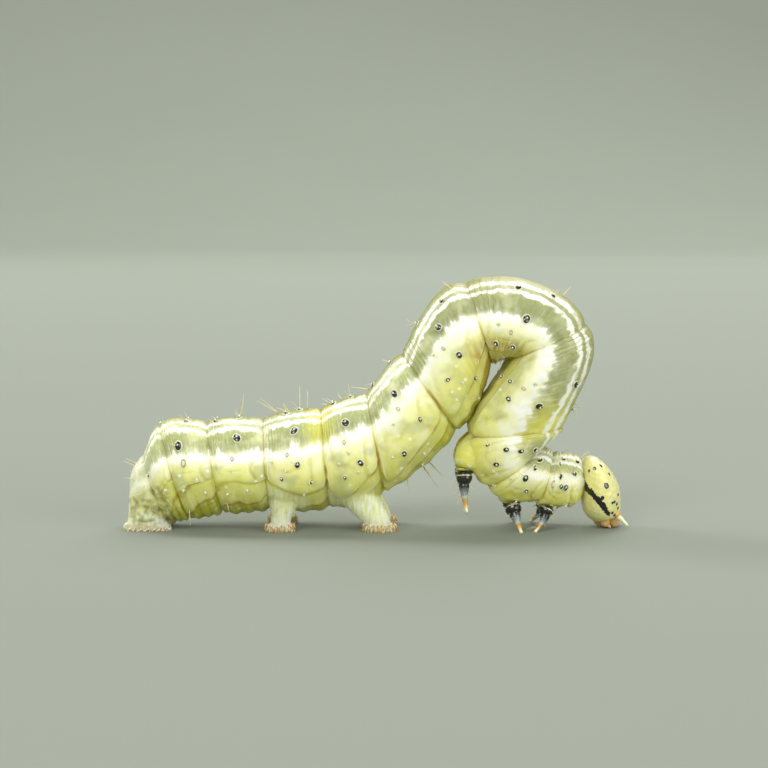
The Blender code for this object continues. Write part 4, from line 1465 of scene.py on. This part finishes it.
class LARVA_OT_hooks(bpy.types.Operator):
    """Small amber hooks in rows round the soles of the soft legs"""

    bl_idname = "larva.hooks"
    bl_label = "Sole hooks"

    def execute(self, context):
        draw = random.Random(3)
        length = sizes().hook_length / MM
        rows = {"amber": [], "cream": []}
        for leg, (sole, _, column) in SOFT_LEGS.items():
            half_length, half_width = column[1][1:]
            if leg == "clasper":
                count, low, short, amber_share = 110, 0.4, 0.6, 0.3
            else:
                count, low, short, amber_share = 128, 1.0, 1.0, 0.62
            for side in SIDES.values():
                for n in range(count):
                    angle = 2 * math.pi * (n + draw.uniform(-0.2, 0.2)) / count
                    out = Vector((math.cos(angle) / half_length, math.sin(angle) / half_width, 0))
                    out.normalize()
                    height = (0.08, 0.24, 0.16, 0.33, 0.40)[n % 5] + draw.uniform(-0.02, 0.02)
                    height *= low
                    point = Vector((
                        sole[0] + half_length * 0.97 * math.cos(angle),
                        side * sole[1] + half_width * 0.97 * math.sin(angle),
                        height,
                    ))
                    direction = (out + Vector((0, 0, draw.uniform(-0.9, -0.3)))).normalized()
                    along = Vector((0, 0, -1)) + out * 0.2
                    reach = length * draw.uniform(0.55, 0.85) * short
                    row = rows["amber" if draw.random() < amber_share else "cream"]
                    matrix = stand(point, direction, along, (HOOK_WIDTH, HOOK_WIDTH, reach))
                    row.append((matrix, 0.45 * reach / HOOK_WIDTH, (0.3, 0.1)))
        for name, tint in (("amber", colours().amber), ("cream", colours().halo)):
            hooks = scatter(f"{name}_hooks", spine("hook", 7, 5), rows[name])
            finish_piece(hooks, clear_finish(f"{name} hook horn", tint, 0.15))
        return {"FINISHED"}


class LARVA_OT_studio(bpy.types.Operator):
    """Plain pale floor that curves up behind, soft lights and the camera"""

    bl_idname = "larva.studio"
    bl_label = "Studio"

    def execute(self, context):
        deselect()
        # in metres: the floor's rear edge, and the wall that rises from it in a wide bend
        rear_edge, wall_height, bend_radius = 1.0, 1.5, 0.45
        bpy.ops.mesh.primitive_plane_add(size=7.0, location=(0, rear_edge - 3.5, 0))
        floor = context.object
        floor.name = "studio_floor"
        bpy.ops.object.transform_apply()
        shape = bmesh.new()
        shape.from_mesh(floor.data)
        rear = [e for e in shape.edges if all(v.co.y > 0.9 * rear_edge for v in e.verts)]
        raised = bmesh.ops.extrude_edge_only(shape, edges=rear)["geom"]
        for vertex in (v for v in raised if isinstance(v, bmesh.types.BMVert)):
            vertex.co.z += wall_height
        bend = [e for e in rear if e.is_valid and all(v.co.z < 0.1 for v in e.verts)]
        bmesh.ops.bevel(
            shape, geom=bend, offset=bend_radius, segments=24, profile=0.5, affect="EDGES"
        )
        shape.to_mesh(floor.data)
        shape.free()
        floor.data.shade_smooth()
        # card, matt and even, with a broad faint unevenness as paper pulp has
        look, tree, shader = finish("studio card", Roughness=0.85)
        value, pale = patterns(tree, noises=(("tone", 60, 2.0),)), colours().floor
        painted = layered(tree, value, pale, ((shade_of(pale, 0.95), 1.0, ("tone",)),))
        tree.links.new(painted, shader.inputs["Base Color"])
        floor.data.materials.append(look)

        target = Vector((0.37, 0.0, 7.25)) * MM
        for name, place, aim, size, power in (
            ("key", (-0.22, -0.60, 0.50), target, 0.40, 3.6),
            ("fill", (0.55, -0.45, 0.20), target, 0.50, 2.6),
            ("rear", (0.18, 0.50, 0.45), target, 0.50, 2.0),
            ("rear_left", (-0.50, 0.30, 0.35), target, 0.25, 1.9),
            ("backdrop", (0.0, 0.35, 0.95), (0.0, 1.0, 0.15), 0.60, 7.0),
        ):
            lamp = bpy.data.lights.new(name, "AREA")
            lamp.size, lamp.energy = size, power
            holder = bpy.data.objects.new(name, lamp)
            holder.location = place
            holder.rotation_euler = (Vector(aim) - Vector(place)).to_track_quat("-Z", "Y").to_euler()
            context.scene.collection.objects.link(holder)
        world = bpy.data.worlds.new("studio air")
        world.use_nodes = True
        air = world.node_tree.nodes["Background"]
        air.inputs["Color"].default_value = linear("#E9EDE6")
        air.inputs["Strength"].default_value = 0.55
        context.scene.world = world
        context.scene.view_settings.view_transform = "Standard"

        lens = bpy.data.cameras.new("camera")
        lens.lens, lens.sensor_width, lens.clip_start, lens.clip_end = 100, 36, 0.001, 10
        camera = bpy.data.objects.new("camera", lens)
        tilt, distance = math.radians(5), 0.107
        camera.location = target + Vector((0, -math.cos(tilt), math.sin(tilt))) * distance
        camera.rotation_euler = (target - camera.location).to_track_quat("-Z", "Y").to_euler()
        context.scene.collection.objects.link(camera)
        context.scene.camera = camera
        return {"FINISHED"}


class LARVA_PT_panel(bpy.types.Panel):
    """Lists the sizes, colours and pieces of the larva"""

    bl_idname = "LARVA_PT_panel"
    bl_label = "Looper Larva"
    bl_space_type = "VIEW_3D"
    bl_region_type = "UI"
    bl_category = "Larva"

    def draw(self, context):
        for group in (context.scene.larva_sizes, context.scene.larva_colours):
            for name in group.bl_rna.properties.keys():
                if name not in ("rna_type", "name"):
                    self.layout.prop(group, name)
        for piece in PIECES:
            self.layout.operator(piece.bl_idname)


PIECES = (
    LARVA_OT_skin, LARVA_OT_head, LARVA_OT_eyes, LARVA_OT_feelers, LARVA_OT_legs, LARVA_OT_spots,
    LARVA_OT_breathing_holes, LARVA_OT_bristles, LARVA_OT_hooks, LARVA_OT_studio,
)
CLASSES = (LarvaSizes, LarvaColours) + PIECES + (LARVA_PT_panel,)


def register():
    for made in CLASSES:
        bpy.utils.register_class(made)
    bpy.types.Scene.larva_sizes = bpy.props.PointerProperty(type=LarvaSizes)
    bpy.types.Scene.larva_colours = bpy.props.PointerProperty(type=LarvaColours)


def unregister():
    del bpy.types.Scene.larva_colours
    del bpy.types.Scene.larva_sizes
    for made in reversed(CLASSES):
        bpy.utils.unregister_class(made)


def main():
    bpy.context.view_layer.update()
    register()
    bpy.ops.larva.skin()
    bpy.ops.larva.head()
    bpy.ops.larva.eyes()
    bpy.ops.larva.feelers()
    bpy.ops.larva.legs()
    bpy.ops.larva.spots()
    bpy.ops.larva.breathing_holes()
    bpy.ops.larva.bristles()
    bpy.ops.larva.hooks()
    bpy.ops.larva.studio()


if __name__ == "__main__":
    main()
